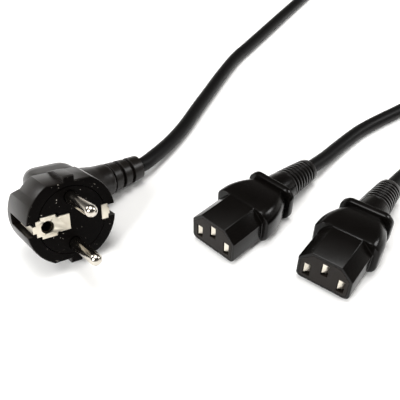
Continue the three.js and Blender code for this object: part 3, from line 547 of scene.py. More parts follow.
def soften(
    piece: bpy.types.Object, width_mm: float, segments: int = 2, limit: float = 30
) -> bpy.types.Object:
    """Round a piece's sharp edges a little, as a mould does.

    Args:
        piece: The piece.
        width_mm: How wide the rounding is.
        segments: Faces across it.
        limit: Only edges that turn by more than this many degrees are rounded.

    Returns:
        The piece.
    """
    bevel = piece.modifiers.new("round", "BEVEL")
    bevel.width = width_mm * MM
    bevel.segments = segments
    bevel.limit_method = "ANGLE"
    bevel.angle_limit = math.radians(limit)
    apply_modifiers(piece)
    return piece


def smooth(piece: bpy.types.Object, limit: float = 30) -> None:
    """Shade a mesh smooth, except over its sharp edges.

    Args:
        piece: The piece.
        limit: Edges that turn by more than this many degrees stay sharp.
    """
    mesh = bmesh.new()
    mesh.from_mesh(piece.data)
    bmesh.ops.recalc_face_normals(mesh, faces=mesh.faces)
    for face in mesh.faces:
        face.smooth = True
    for edge in mesh.edges:
        edge.smooth = edge.calc_face_angle(0.0) < math.radians(limit)
    mesh.to_mesh(piece.data)
    mesh.free()


def dress(piece: bpy.types.Object, material: bpy.types.Material, slot: str, *nodes: str) -> bpy.types.Object:
    """Give a new piece its finish and its place in the frame.

    Args:
        piece: The new piece.
        material: Its finish.
        slot: The slot name for that finish, which is not used.
        nodes: The solids that it stands for.

    Returns:
        The piece.
    """
    piece.data.materials.clear()
    piece.data.materials.append(material)
    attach(piece, "root")
    if nodes:
        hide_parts(*nodes)
    LOG.info("dressed %s", piece.name)
    return piece


def finish_node(name: str, material: bpy.types.Material) -> None:
    """Give a solid that stays its finish.

    Args:
        name: The solid's node.
        material: Its finish.
    """
    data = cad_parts[name].data
    data.materials.clear()
    data.materials.append(material)


# Cords. The points repeat the solids' route, and the coil's turns are worked out.


def catmull(points: list[Vector], step_mm: float) -> list[Vector]:
    """Run one smooth line through points.

    Args:
        points: The points, in order.
        step_mm: About how far apart the line's points are.

    Returns:
        The line's points.
    """
    padded = [points[0] * 2 - points[1], *points, points[-1] * 2 - points[-2]]
    line: list[Vector] = []
    for a, b, c, d in zip(padded, padded[1:], padded[2:], padded[3:]):
        count = max(1, round((c - b).length / step_mm))
        for k in range(count):
            t = k / count
            line.append(
                0.5
                * (
                    2 * b
                    + (c - a) * t
                    + (2 * a - 5 * b + 4 * c - d) * t**2
                    + (3 * b - a - 3 * c + d) * t**3
                )
            )
    line.append(points[-1].copy())
    return line


@dataclass
class Coil:
    """The main cord's turns: three wide below and two above, wound clockwise."""

    centre: Vector = field(default_factory=lambda: Vector((157.0, 454.7, 0.0)))
    mean_radius: float = 36.0
    cord: float = 6.8
    lift: float = 1.1
    start_angle: float = 150.0
    turns: float = 4 + 170 / 360
    steps_per_turn: int = 24
    crossing_starts: tuple[float, ...] = (318.0, 318.0, 272.0, 226.0, 400.0)
    crossing_span: float = 42.0
    hop_start: float = 318.0
    hop_height: float = 0.9

    def slots(self) -> list[tuple[float, float]]:
        """List the places of the turns in the coil's section.

        Returns:
            Each turn's radius and height.
        """
        low = self.lift + self.cord / 2
        high = low + self.cord * math.sqrt(3) / 2
        r, d = self.mean_radius, self.cord
        return [(r + d, low), (r, low), (r - d, low), (r - d / 2, high), (r + d / 2, high)]

    def place(self, turn: int, progress: float) -> tuple[float, float]:
        """Say where a turn lies in the coil's section.

        Args:
            turn: Which turn it is, from 0.
            progress: How far round that turn it is, in degrees.

        Returns:
            The radius and the height.
        """
        slots = self.slots()
        radius, height = slots[turn]
        share = min(max((progress - self.crossing_starts[turn]) / self.crossing_span, 0.0), 1.0)
        share = share * share * (3 - 2 * share)
        if share > 0:
            next_radius, next_height = slots[turn + 1]
            if turn < 2:
                radius += (next_radius - radius) * share
            else:
                pivot = Vector((self.mean_radius, slots[1][1]))
                first = math.pi if turn == 2 else math.radians(120)
                angle = first - math.radians(60) * share
                radius = pivot.x + self.cord * math.cos(angle)
                height = pivot.y + self.cord * math.sin(angle)
        if turn > 1 and progress > self.hop_start:
            passed = (progress - self.hop_start) / self.crossing_span
            height += self.hop_height * math.sin(math.pi * passed) ** 2
        return radius, height

    def points(self) -> list[Vector]:
        """Work out the coil's line.

        Returns:
            The line's points.
        """
        total = self.turns * 360
        count = round(self.turns * self.steps_per_turn)
        line = []
        for k in range(count + 1):
            travelled = total * k / count
            turn = min(int(travelled // 360), len(self.slots()) - 1)
            radius, height = self.place(turn, travelled - 360 * turn)
            angle = math.radians(self.start_angle - travelled)
            line.append(self.centre + Vector((radius * math.cos(angle), radius * math.sin(angle), height)))
        return line


@dataclass
class Lead:
    """The main cord and the two tails, and the ties round the coil."""

    main_diameter: float = 6.8
    tail_diameter: float = 6.6
    step: float = 5.0
    tie_angles: tuple[float, float] = (55, 235)
    tie_clearance: float = 0.45
    tie_inside: float = 0.15
    tie_outside: float = 0.55
    tie_half_width: float = 4.0
    tie_lift: float = 0.02
    coil: Coil = field(default_factory=Coil)
    main_start: tuple = (
        (-30.5, 194.8, 6.5),
        (-28.2, 197, 6.25),
        (-25.9, 199.2, 5.9),
        (-19.7, 209.4, 4.8),
        (-13.8, 220.6, 3.8),
        (-7.8, 233.9, 3.4),
        (-1.7, 249.9, 3.4),
        (5.1, 267.1, 3.4),
        (12.6, 286, 3.4),
        (21.4, 305.9, 3.4),
        (30.4, 321.4, 3.4),
        (44.7, 346.1, 3.4),
        (59, 370.8, 3.4),
        (73.4, 395.5, 3.4),
        (90.4, 425, 3.7),
        (107.2, 454.1, 4.3),
    )
    main_end: tuple = (
        (183.9, 413.6, 7.45),
        (180.5, 404.1, 6.8),
        (175.4, 390.1, 5.95),
        (174.2, 386.8, 5.9),
    )
    tails: dict = field(
        default_factory=lambda: {
            "left": (
                (47.5, 192.8, 6.2),
                (49.65, 195, 6),
                (59.3, 205.2, 4.6),
                (68.7, 216.2, 3.7),
                (81.2, 229, 3.4),
                (93.5, 238.6, 3.4),
                (106.5, 247.9, 3.4),
                (118.5, 257.5, 3.4),
                (127.3, 270, 3.4),
                (133.2, 285.5, 3.6),
                (137.3, 301.5, 4.4),
                (141.75, 318.7, 5.95),
                (142.9, 321.9, 6.0),
            ),
            "right": (
                (81.8, 178.95, 6.2),
                (83.6, 181.35, 6),
                (91.4, 190.6, 4.6),
                (101.5, 200.8, 3.7),
                (112.5, 212.5, 3.4),
                (123, 226, 3.4),
                (132.8, 241.5, 3.4),
                (141.3, 259, 3.4),
                (148, 277.5, 3.6),
                (151.4, 297.2, 4.5),
                (155.3, 314, 5.95),
                (156.35, 317, 6.0),
            ),
        }
    )

    def build(
        self, name: str, line: list[Vector], diameter: float, nodes: list[str]
    ) -> None:
        """Args:
            name: The piece's name.
            line: Its centre line, in photo-floor millimetres.
            diameter: Its diameter.
            nodes: The solids that it stands for.
        """
        data = bpy.data.curves.new(name, "CURVE")
        data.dimensions = "3D"
        data.bevel_depth = diameter / 2 * MM
        data.bevel_resolution = 7
        data.use_fill_caps = True
        spline = data.splines.new("POLY")
        spline.points.add(len(line) - 1)
        for point, at in zip(spline.points, line):
            point.co = (*((at - MIDDLE) * MM), 1.0)
        spline.use_smooth = True
        piece = bpy.data.objects.new(name, data)
        bpy.context.scene.collection.objects.link(piece)
        dress(piece, SHEATH, "cord", *nodes)

    def build_all(self) -> None:
        """Make the three cords and the ties."""
        coil = self.coil.points()
        start = [Vector(p) for p in self.main_start]
        end = [Vector(p) for p in self.main_end]
        lead_in = catmull([*start, coil[0]], self.step)[:-1]
        lead_out = catmull([coil[-1], *end], self.step)[1:]
        turns = catmull(coil, self.step)
        nodes = ["main_cord_start", "main_cord_coil", "main_cord_end"]
        self.build("main_cord", lead_in + turns + lead_out, self.main_diameter, nodes)
        for side, route in self.tails.items():
            points = [Vector(p) for p in route]
            name = f"tail_cord_{side}_sheath"
            line = catmull(points, self.step)
            self.build(name, line, self.tail_diameter, [f"tail_cord_{side}"])
        for number, angle in enumerate(self.tie_angles, start=1):
            self.tie(number, angle)

    def tie(self, number: int, angle: float) -> None:
        """Wrap one tie round the coil.

        Args:
            number: The tie's number.
            angle: Where it is on the coil, in degrees.
        """
        coil = self.coil
        radius = coil.cord / 2 + self.tie_clearance
        low = coil.lift + coil.cord / 2
        high = coil.slots()[3][1]
        centres = [
            Vector((-coil.cord, low)),
            Vector((coil.cord, low)),
            Vector((coil.cord / 2, high)),
            Vector((-coil.cord / 2, high)),
        ]
        inner: Outline = []
        outer: Outline = []
        spans = ((180, 270), (270, 390), (30, 90), (90, 150))
        for centre, (first, last) in zip(centres, spans):
            for k in range(7):
                a = math.radians(first + (last - first) * k / 6)
                way = Vector((math.cos(a), math.sin(a)))
                inner.append(centre + way * (radius - self.tie_inside))
                outer.append(centre + way * (radius + self.tie_outside))
        half = self.tie_half_width
        place = Matrix.Translation(coil.centre - MIDDLE) @ Matrix.Rotation(math.radians(angle), 4, "Z")
        place = place @ Matrix.Translation((coil.mean_radius, 0, 0))
        profile = ((inner, -half), (outer, -half), (outer, half), (inner, half))
        mesh = bmesh.new()
        rows = [
            [mesh.verts.new((place @ Vector((p.x, y, max(p.y, self.tie_lift)))) * MM) for p in ring]
            for ring, y in profile
        ]
        for low_row, high_row in zip(rows, rows[1:] + rows[:1]):
            for i in range(len(low_row)):
                j = (i + 1) % len(low_row)
                mesh.faces.new((low_row[i], low_row[j], high_row[j], high_row[i]))
        bmesh.ops.recalc_face_normals(mesh, faces=mesh.faces)
        band = linked(f"coil_band_{number}", mesh)
        soften(band, 0.25, 2, 50)
        smooth(band, 40)
        dress(band, TIE, "tie", f"coil_tie_{number}")


# Appliance connectors


@dataclass(frozen=True)
class Section:
    """A connector's section: a flat base and two top corners cut off or rounded."""

    half_width: float
    low: float
    high: float
    cut: float
    low_radius: float
    top_radius: float
    steps: int = 8

    def ring(self, y: float, inset: float = 0.0) -> Ring:
        """Stand the section across the Y axis.

        Args:
            y: Where it stands.
            inset: How far inside the outline it runs.

        Returns:
            The ring's points.
        """
        w, low, high = self.half_width - inset, self.low + inset, self.high - inset
        cut = self.cut - inset * (2 - math.sqrt(2))
        low_radius = max(self.low_radius - inset / 2, 0.25)
        corners = [
            Corner(-w, low, low_radius),
            Corner(w, low, low_radius),
            Corner(w, high - cut, self.top_radius),
            Corner(w - cut, high, self.top_radius),
            Corner(-w + cut, high, self.top_radius),
            Corner(-w, high - cut, self.top_radius),
        ]
        return [Vector((p.x, y, p.y)) for p in rounded_outline(corners, self.steps)]

    def mixed(self, other: "Section", share: float) -> "Section":
        """Make the section a share of the way to another one.

        Args:
            other: The other section.
            share: How far towards it, from 0 to 1.

        Returns:
            The section between them.
        """
        values = [
            a + (b - a) * share
            for a, b in (
                (self.half_width, other.half_width),
                (self.low, other.low),
                (self.high, other.high),
                (self.cut, other.cut),
                (self.low_radius, other.low_radius),
                (self.top_radius, other.top_radius),
            )
        ]
        return Section(*values, steps=self.steps)


# The middle of each slot on a connector's face.
SLOTS = {
    Pole.LIVE: Vector((7.0, 0.0, 7.0)),
    Pole.NEUTRAL: Vector((-7.0, 0.0, 7.0)),
    Pole.EARTH: Vector((0.0, 0.0, 11.0)),
}


@dataclass
class Connector:
    """A three-slot appliance connector, moulded over its contact carrier."""

    side: str
    origin: tuple[float, float]
    turn: float
    wall: float = 1.27
    face: Section = Section(11.0, 1.5, 16.6, 4.9, 2.0, 0.45)
    shoulder: Section = Section(13.6, 0.8, 16.75, 3.2, 4.6, 4.2)
    shoulder_end: Section = Section(9.0, 1.9, 14.5, 2.6, 4.0, 3.2)
    collar: Section = Section(11.2, 0.0, 16.0, 2.9, 4.4, 3.6)
    nose: float = 16.9
    collar_front: float = 34.6
    collar_back: float = 37.7
    relief_end: float = 63.5
    relief_root: float = 7.4
    relief_taper: float = 2.1
    groove_start: float = 45.6
    groove_pitch: float = 2.15
    grooves: int = 7
    shoulder_flat: float = 3.6

    def place(self) -> Matrix:
        """Say where the connector lies.

        Returns:
            Its place in the frame.
        """
        at = Vector((*self.origin, 0.0)) - MIDDLE
        return Matrix.Translation(at) @ Matrix.Rotation(math.radians(self.turn), 4, "Z")

    def round_ring(self, y: float, radius: float) -> Ring:
        """Stand a circle across the relief, whose axis sinks a little towards its end.

        Args:
            y: Where it stands.
            radius: Its radius.

        Returns:
            The ring's points.
        """
        share = max(0.0, (y - self.collar_back) / (self.relief_end - self.collar_back))
        centre = Vector((0.0, 8.0 - 2.0 * share**1.5))
        count = 6 * self.face.steps
        return [Vector((p.x, y, p.y)) for p in round_outline(radius, count, centre, 210)]

    def relief_radius(self, y: float) -> float:
        """Say how thick the relief is before its grooves are cut.

        Args:
            y: Where along it.

        Returns:
            The radius.
        """
        length = self.relief_end - self.collar_back
        return self.relief_root - self.relief_taper * (y - self.collar_back) / length

    def relief_rings(self) -> list[Ring]:
        """List the rings of the strain relief, with its fine grooves.

        Returns:
            The rings, from the collar to the cord.
        """
        rings = [self.round_ring(self.collar_back, 7.7), self.round_ring(self.collar_back + 0.3, 7.4)]
        radius = self.relief_radius
        groove = ((0.0, 0.12), (0.18, 0.0), (1.0, 0.0), (1.18, 0.12), (1.3, 0.85), (1.95, 0.85))
        for y in (40.0, 43.0):
            rings.append(self.round_ring(y, radius(y)))
        for k in range(self.grooves):
            y = self.groove_start + k * self.groove_pitch
            for step, depth in groove:
                rings.append(self.round_ring(y + step, radius(y + step) - depth))
        last = self.groove_start + self.grooves * self.groove_pitch
        rings.append(self.round_ring(last, radius(last) - 0.1))
        rings.append(self.round_ring(last + 0.2, radius(last)))
        rings.append(self.round_ring(self.relief_end - 0.5, 5.3))
        rings.append(self.round_ring(self.relief_end - 0.12, 5.15))
        rings.append(self.round_ring(self.relief_end, 4.8))
        rings.append(self.round_ring(self.relief_end, 3.45))
        rings.append(self.round_ring(self.relief_end - 3.0, 3.4))
        return rings

    def shoulder_rings(self) -> list[Ring]:
        """List the rings of the shoulders, from the step behind the nose to the collar.

        Returns:
            The rings.
        """
        start = self.nose
        steps = (
            (0.0, 1.1, 16.62),
            (0.12, 0.55, 16.64),
            (0.4, 0.2, 16.68),
            (0.9, 0.0, 16.75),
            (self.shoulder_flat, 0.0, 16.75),
        )
        rings = [
            replace(self.shoulder, high=top + inset).ring(start + step, inset) for step, inset, top in steps
        ]
        count = 9
        for k in range(1, count + 1):
            share = k / count
            y = start + self.shoulder_flat + (self.collar_front - start - self.shoulder_flat) * share
            rings.append(self.shoulder.mixed(self.shoulder_end, share**1.7).ring(y))
        return rings

    def build_body(self) -> bpy.types.Object:
        """Make the overmoulding: pocket, nose, shoulders, collar and relief in one skin.

        Returns:
            The overmoulding.
        """
        face, collar = self.face, self.collar
        rings = [
            face.ring(22.0, self.wall),
            face.ring(0.18, self.wall),
            face.ring(0.03, self.wall - 0.14),
            face.ring(0.0, self.wall - 0.25),
            face.ring(0.0, 0.4),
            face.ring(0.1, 0.13),
            face.ring(0.38, 0.0),
            face.ring(self.nose - 0.25, 0.0),
            face.ring(self.nose, -0.25),
        ]
        rings += self.shoulder_rings()
        rings += [
            collar.ring(self.collar_front, 0.7),
            collar.ring(self.collar_front + 0.15, 0.22),
            collar.ring(self.collar_front + 0.6, 0.0),
            collar.ring(self.collar_back - 0.6, 0.0),
            collar.ring(self.collar_back - 0.15, 0.22),
            collar.ring(self.collar_back, 0.7),
        ]
        rings += self.relief_rings()
        body = skin(f"connector_{self.side}_moulding", rings, self.place())
        smooth(body, 32)
        return dress(body, CONNECTOR, "moulding", f"connector_{self.side}_body")

    def build_contact(self, pole: Pole) -> None:
        """Fold one contact from strip: a socket, and a slanted leaf that guides the blade in.

        Args:
            pole: The conductor that it serves.
        """
        place = self.place() @ Matrix.Translation(SLOTS[pole])
        half_x, half_z, wall = 1.2, 2.7, 0.4
        socket = [
            rectangle(half_x - wall, half_z - wall, 12.0),
            rectangle(half_x - wall, half_z - wall, 2.6),
            rectangle(half_x, half_z, 2.6),
            rectangle(half_x, half_z, 14.7),
        ]
        leaf = [(-1.3, 0.65), (-1.2, 0.45), (0.95, 1.75), (0.75, 8.0), (0.5, 8.0), (0.7, 1.95)]
        leaf_rings = [[Vector((x, y, z)) for x, y in leaf] for z in (-2.3, 2.6)]
        name = f"connector_{self.side}_contact_{pole.value}"
        contact = joined(f"{name}_strip", [skin("socket", socket, place), skin("leaf", leaf_rings, place)])
        smooth(contact, 20)
        dress(contact, CONTACT, "contact", name)

    def dress_inside(self) -> None:
        """Finish the carrier, the contacts and the cores."""
        finish_node(f"connector_{self.side}_carrier", CARRIER)
        for pole in Pole:
            self.build_contact(pole)
            finish_node(f"connector_{self.side}_core_{pole.value}", CORES[pole])


# Plug


@dataclass
class Plug:
    """The angled two-pin plug with its earth plate and clip."""

    at: tuple[float, float, float] = (-47.6, 146.4, 20.9)
    lean: float = -16.0
    roll: float = 11.5
    turn: float = 38.7
    radius: float = 17.9
    half_height: float = 15.6
    rim: float = 14.3
    lug: float = 19.7
    groove_floor: float = 14.7
    groove_half: float = 2.4
    bridge: float = 13.7
    pin_radius: float = 2.4
    pin_length: float = 19.0
    pin_offset: float = 9.5
    lug_half_angles: tuple[float, float] = (28.0, 41.0)
    rib_half: float = 2.3
    relief_start: float = 0.46
    groove_starts: tuple[float, ...] = (0.53, 0.67, 0.81)
    groove_share: float = 0.042
    groove_depth: float = 1.3
    axis: tuple = (
        (8, 23, 0.4),
        (14, 24.9, 0.7),
        (20, 26.5, 0.8),
        (30, 28.5, 1.2),
        (40, 29.8, 2),
        (46.8, 30.3, 2.8),
    )

    def place(self) -> Matrix:
        """Say where the plug lies: turned, leant back and rolled, in that order.

        Returns:
            Its place in the frame.
        """
        at = Vector(self.at) - MIDDLE
        turn = Matrix.Rotation(math.radians(self.turn), 4, "Z")
        lean = Matrix.Rotation(math.radians(self.lean), 4, "X")
        roll = Matrix.Rotation(math.radians(self.roll), 4, "Y")
        return Matrix.Translation(at) @ turn @ lean @ roll

    def head_outline(self, inset: float) -> Outline:
        """Draw the head: a circle with a flat above and one below.

        Args:
            inset: How far inside the outline it runs.

        Returns:
            The outline's points.
        """
        radius, half = self.radius - inset, self.half_height - inset
        flat = math.asin(half / radius)
        points = []
        for middle in (0.0, math.pi):
            for k in range(61):
                a = middle - flat + 2 * flat * k / 60
                points.append(Vector((radius * math.cos(a), radius * math.sin(a))))
        return points

    def depth(self, point: Vector) -> float:
        """Say how deep the head is at a point: deeper at the lug, away from the cord.

        Args:
            point: The point of the outline.

        Returns:
            The depth behind the contact face.
        """
        near, far = self.lug_half_angles
        off = math.degrees(math.atan2(abs(point.y), -point.x))
        share = min(max((far - off) / (far - near), 0.0), 1.0)
        return self.rim + (self.lug - self.rim) * share

    def build_head(self) -> bpy.types.Object:
        """Make the head and its lug in one skin, with the bridge's pocket in its face.

        Returns:
            The head.
        """
        place = self.place()
        outline = self.head_outline(0.0)
        front = ((0.35, 0.0), (0.1, 0.08), (0.0, 0.35))
        back = ((0.0, 0.45), (0.1, 0.12), (0.45, 0.0))
        rings = [[Vector((p.x, y, p.y)) for p in self.head_outline(inset)] for inset, y in front]
        for inset, short in back:
            ring = zip(outline, self.head_outline(inset))
            rings.append([Vector((p.x, self.depth(o) - short, p.y)) for o, p in ring])
        rings.append([Vector((p.x / 2, self.depth(p), p.y / 2)) for p in outline])
        rings.append([Vector((p.x * 0.48, self.rim, p.y * 0.48)) for p in outline])
        head = skin("plug_moulding", rings, place)
        pocket = round_outline(self.bridge, 72, Vector((0, 0)), 0)
        combine(head, [prism("pocket", pocket, -1, 6.3, place)], Join.DIFFERENCE)
        return head

    def build_rib(self, side: int) -> bpy.types.Object:
        """Make one guide rib.

        Args:
            side: 1 for the rib on top and -1 for the one underneath.

        Returns:
            The rib.
        """
        half = self.rib_half
        seat = self.half_height - 1.2
        rings = []
        for y, top in ((0.0, 17.3), (0.35, 17.7), (8.5, 17.7), (15.5, 15.4)):
            ring = [
                Vector((-half, y, side * seat)),
                Vector((half, y, side * seat)),
                Vector((half, y, side * top)),
                Vector((-half, y, side * top)),
            ]
            rings.append(ring)
        return soften(skin("rib", rings, self.place()), 0.35, 3)

    def build_grip(self) -> bpy.types.Object:
        """Make the grip and the neck as one soft form.

        Returns:
            The grip.
        """
        place = self.place()
        # Depth, middle, half width, underside, top and corner radius.
        stations = (
            (13.2, 0.4, 10.8, -15.0, 15.4, 4.4),
            (16.0, 0.4, 10.8, -15.0, 15.5, 4.4),
            (21.0, 0.7, 10.3, -14.6, 15.5, 4.4),
            (25.0, 1.1, 9.8, -13.4, 14.9, 4.8),
            (28.5, 1.5, 8.9, -11.9, 13.3, 5.2),
            (31.5, 1.8, 7.7, -9.7, 10.9, 5.4),
            (33.6, 2.0, 6.0, -7.0, 8.2, 4.8),
            (35.0, 2.0, 3.6, -3.8, 5.0, 3.4),
        )
        rings = []
        for y, x, half_x, low, high, radius in stations:
            corners = [
                Corner(x - half_x, low, radius),
                Corner(x + half_x, low, radius),
                Corner(x + half_x, high, radius),
                Corner(x - half_x, high, radius),
            ]
            rings.append([Vector((p.x, y, p.y)) for p in rounded_outline(corners, 8)])
        grip = skin("grip", rings, place)
        shares = ((0.0, 10.8), (0.1, 10.5), (0.2, 9.6), (0.3, 8.7), (0.4, 7.8), (0.5, 7.3), (0.56, 7.15))
        neck = skin("neck", self.sweep(shares, 40), place)
        combine(grip, [neck], Join.UNION)
        remesh = grip.modifiers.new("remesh", "REMESH")
        remesh.mode = "VOXEL"
        remesh.voxel_size = 0.5 * MM
        apply_modifiers(grip)
        blend = grip.modifiers.new("blend", "SMOOTH")
        blend.factor = 0.5
        blend.iterations = 14
        apply_modifiers(grip)
        return grip

    def sweep(self, shares: tuple, count: int) -> list[Ring]:
        """Stand circles along the neck's axis.

        Args:
            shares: For each circle, its share of the way along and its radius.
            count: Points on each circle.

        Returns:
            The rings.
        """
        line = catmull([Vector(p) for p in self.axis], 0.5)
        rings = []
        for share, radius in shares:
            reach = share * (len(line) - 1)
            index = min(int(reach), len(line) - 2)
            along = (line[index + 1] - line[max(index - 1, 0)]).normalized()
            centre = line[index] + along * ((reach - index) * (line[index + 1] - line[index]).length)
            across = along.cross(Vector((0, 0, 1))).normalized()
            over = across.cross(along)
            angles = [2 * math.pi * k / count for k in range(count)]
            rings.append([centre + (across * math.cos(a) + over * math.sin(a)) * radius for a in angles])
        return rings

    def relief_radius(self, share: float) -> float:
        """Say how thick the relief is before its grooves are cut.

        Args:
            share: How far along the axis.

        Returns:
            The radius.
        """
        return 7.2 - 1.8 * (share - self.relief_start) / (1 - self.relief_start)

    def build_relief(self) -> bpy.types.Object:
        """Make the strain relief with its three wide grooves and its end block.

        Returns:
            The relief.
        """
        radius, depth = self.relief_radius, self.groove_depth
        shares = [(0.44, 6.2), (self.relief_start, 6.9)]
        for start in self.groove_starts:
            end = start + self.groove_share
            shares += [
                (start - 0.005, radius(start)),
                (start, radius(start) - 0.15),
                (start + 0.004, radius(start) - depth),
                (end - 0.004, radius(end) - depth),
                (end, radius(end) - 0.15),
                (end + 0.005, radius(end)),
            ]
        shares += [(0.97, 5.5), (0.99, 5.35), (0.999, 4.8), (0.9995, 3.6), (0.93, 3.5)]
        return skin("relief", self.sweep(tuple(shares), 40), self.place())

    def build_body(self) -> bpy.types.Object:
        """Join the head, ribs, grip and relief, and cut the side grooves.

        Returns:
            The overmoulding.
        """
        place = self.place()
        head = self.build_head()
        combine(head, [self.build_rib(1), self.build_rib(-1)], Join.UNION)
        grooves = []
        for side in (-1, 1):
            near, far = side * self.groove_floor, side * (self.radius + 3)
            half = self.groove_half
            box = [Vector((near, -half)), Vector((far, -half)), Vector((far, half)), Vector((near, half))]
            grooves.append(prism("groove", box, -1.0, 16.0, place))
        combine(head, grooves, Join.DIFFERENCE)
        combine(head, [self.build_grip(), self.build_relief()], Join.UNION)
        smooth(head, 28)
        dress(head, PLUG, "moulding", "plug_body")
        self.texture_face(head)
        return head

    def texture_face(self, head: bpy.types.Object) -> None:
        """Give the contact face the same spark texture as the bridge.

        Args:
            head: The overmoulding.
        """
        head.data.materials.append(BRIDGE)
        place = self.place()
        outward = place.to_3x3() @ Vector((0, -1, 0))
        origin = place.to_translation() * MM
        for face in head.data.polygons:
            if face.normal.dot(outward) > 0.98 and (face.center - origin).dot(outward) > -0.5 * MM:
                face.material_index = 1

    def build_pin(self, name: str, side: int) -> bpy.types.Object:
        """Turn one pin with its domed end.

        Args:
            name: The solid that it stands for.
            side: 1 for the upper pin and -1 for the lower one.

        Returns:
            The pin.
        """
        r, tip = self.pin_radius, -self.pin_length
        profile = [(0.02, tip)]
        for degrees in range(10, 91, 10):
            a = math.radians(degrees)
            profile.append((r * math.sin(a), tip + 2.5 * (1 - math.cos(a))))
        profile += [(r, -8.0), (r, -0.2), (r, 6.3), (3.4, 6.3), (3.4, 7.6), (1.8, 7.6), (1.8, 13.6)]
        centre = Vector((0.0, side * self.pin_offset))
        rings = [
            [Vector((p.x, y, p.y)) for p in round_outline(radius, 48, centre, 0)] for radius, y in profile
        ]
        pin = skin(f"{name}_turned", rings, self.place())
        smooth(pin, 35)
        return dress(pin, PIN, "pin", name)

    def build_earth_plate(self) -> bpy.types.Object:
        """Stamp the earth plate, with its hole, its two nicks and the leg in the left groove.

        Returns:
            The earth plate.
        """
        place = self.place()
        half = [
            (-15.6, 1.4),
            (-14.3, 1.4),
            (-14.3, 3.1),
            (-12.4, 3.1),
            (-12.4, 4.2),
            (-5.8, 4.2),
            (-5.8, 3.1),
            (-1.2, 3.1),
        ]
        outline = [Vector(p) for p in half] + [Vector((x, -z)) for x, z in reversed(half)]
        outline.reverse()
        plate = prism("plug_earth_plate_stamped", outline, -0.2, 0.6, place)
        leg = [Vector((-15.6, -1.4)), Vector((-15.0, -1.4)), Vector((-15.0, 1.4)), Vector((-15.6, 1.4))]
        combine(plate, [prism("leg", leg, -0.2, 12.0, place)], Join.UNION)
        hole = round_outline(2.5, 40, Vector((-10, 0)), 0)
        nicks = [round_outline(0.9, 20, Vector((-5.8, side * 3.7)), 0) for side in (-1, 1)]
        cutters = [prism("cut", shape, -2.0, 3.0, place) for shape in (hole, *nicks)]
        combine(plate, cutters, Join.DIFFERENCE)
        soften(plate, 0.1, 2, 40)
        smooth(plate, 30)
        return dress(plate, STRIP, "earth_strip", "plug_earth_plate")

    def build_earth_sleeve(self) -> bpy.types.Object:
        """Roll the sleeve behind the plate's hole, where a socket's earth pin goes in.

        Returns:
            The sleeve.
        """
        centre = Vector((-10.0, 0.0))
        profile = ((2.12, 11.9), (2.12, 1.1), (2.16, 1.0), (2.3, 1.0), (2.34, 1.1), (2.34, 12.9))
        rings = [[Vector((p.x, y, p.y)) for p in round_outline(r, 40, centre, 0)] for r, y in profile]
        sleeve = skin("plug_earth_sleeve_rolled", rings, self.place())
        smooth(sleeve, 50)
        # The sleeve's dark brass is painted shade for the hole in the earth plate.
        return dress(sleeve, SLEEVE_WITH_PAINTED_SHADE, "contact", "plug_earth_sleeve")

    def build_earth_clip(self) -> bpy.types.Object:
        """Stamp the earth clip: a pad on the face, and the leg down the right groove.

        Returns:
            The clip.
        """
        place = self.place()
        outline = [Vector(p) for p in ((11.9, -3), (14.6, -3), (14.6, -1.3), (15.2, -1.3))]
        outline += [Vector(p) for p in ((15.2, 1.3), (14.6, 1.3), (14.6, 3), (11.9, 3))]
        clip = prism("plug_earth_clip_stamped", outline, -0.2, 0.6, place)
        leg = [Vector((14.8, -1.3)), Vector((15.2, -1.3)), Vector((15.2, 1.3)), Vector((14.8, 1.3))]
        combine(clip, [prism("leg", leg, -0.1, 12.0, place)], Join.UNION)
        soften(clip, 0.1, 2, 40)
        smooth(clip, 30)
        return dress(clip, STRIP, "earth_strip", "plug_earth_clip")

    def dress_inside(self) -> None:
        """Finish the bridge and the cores."""
        finish_node("plug_bridge", BRIDGE)
        for pole in Pole:
            finish_node(f"plug_core_{pole.value}", CORES[pole])


# Y splitter


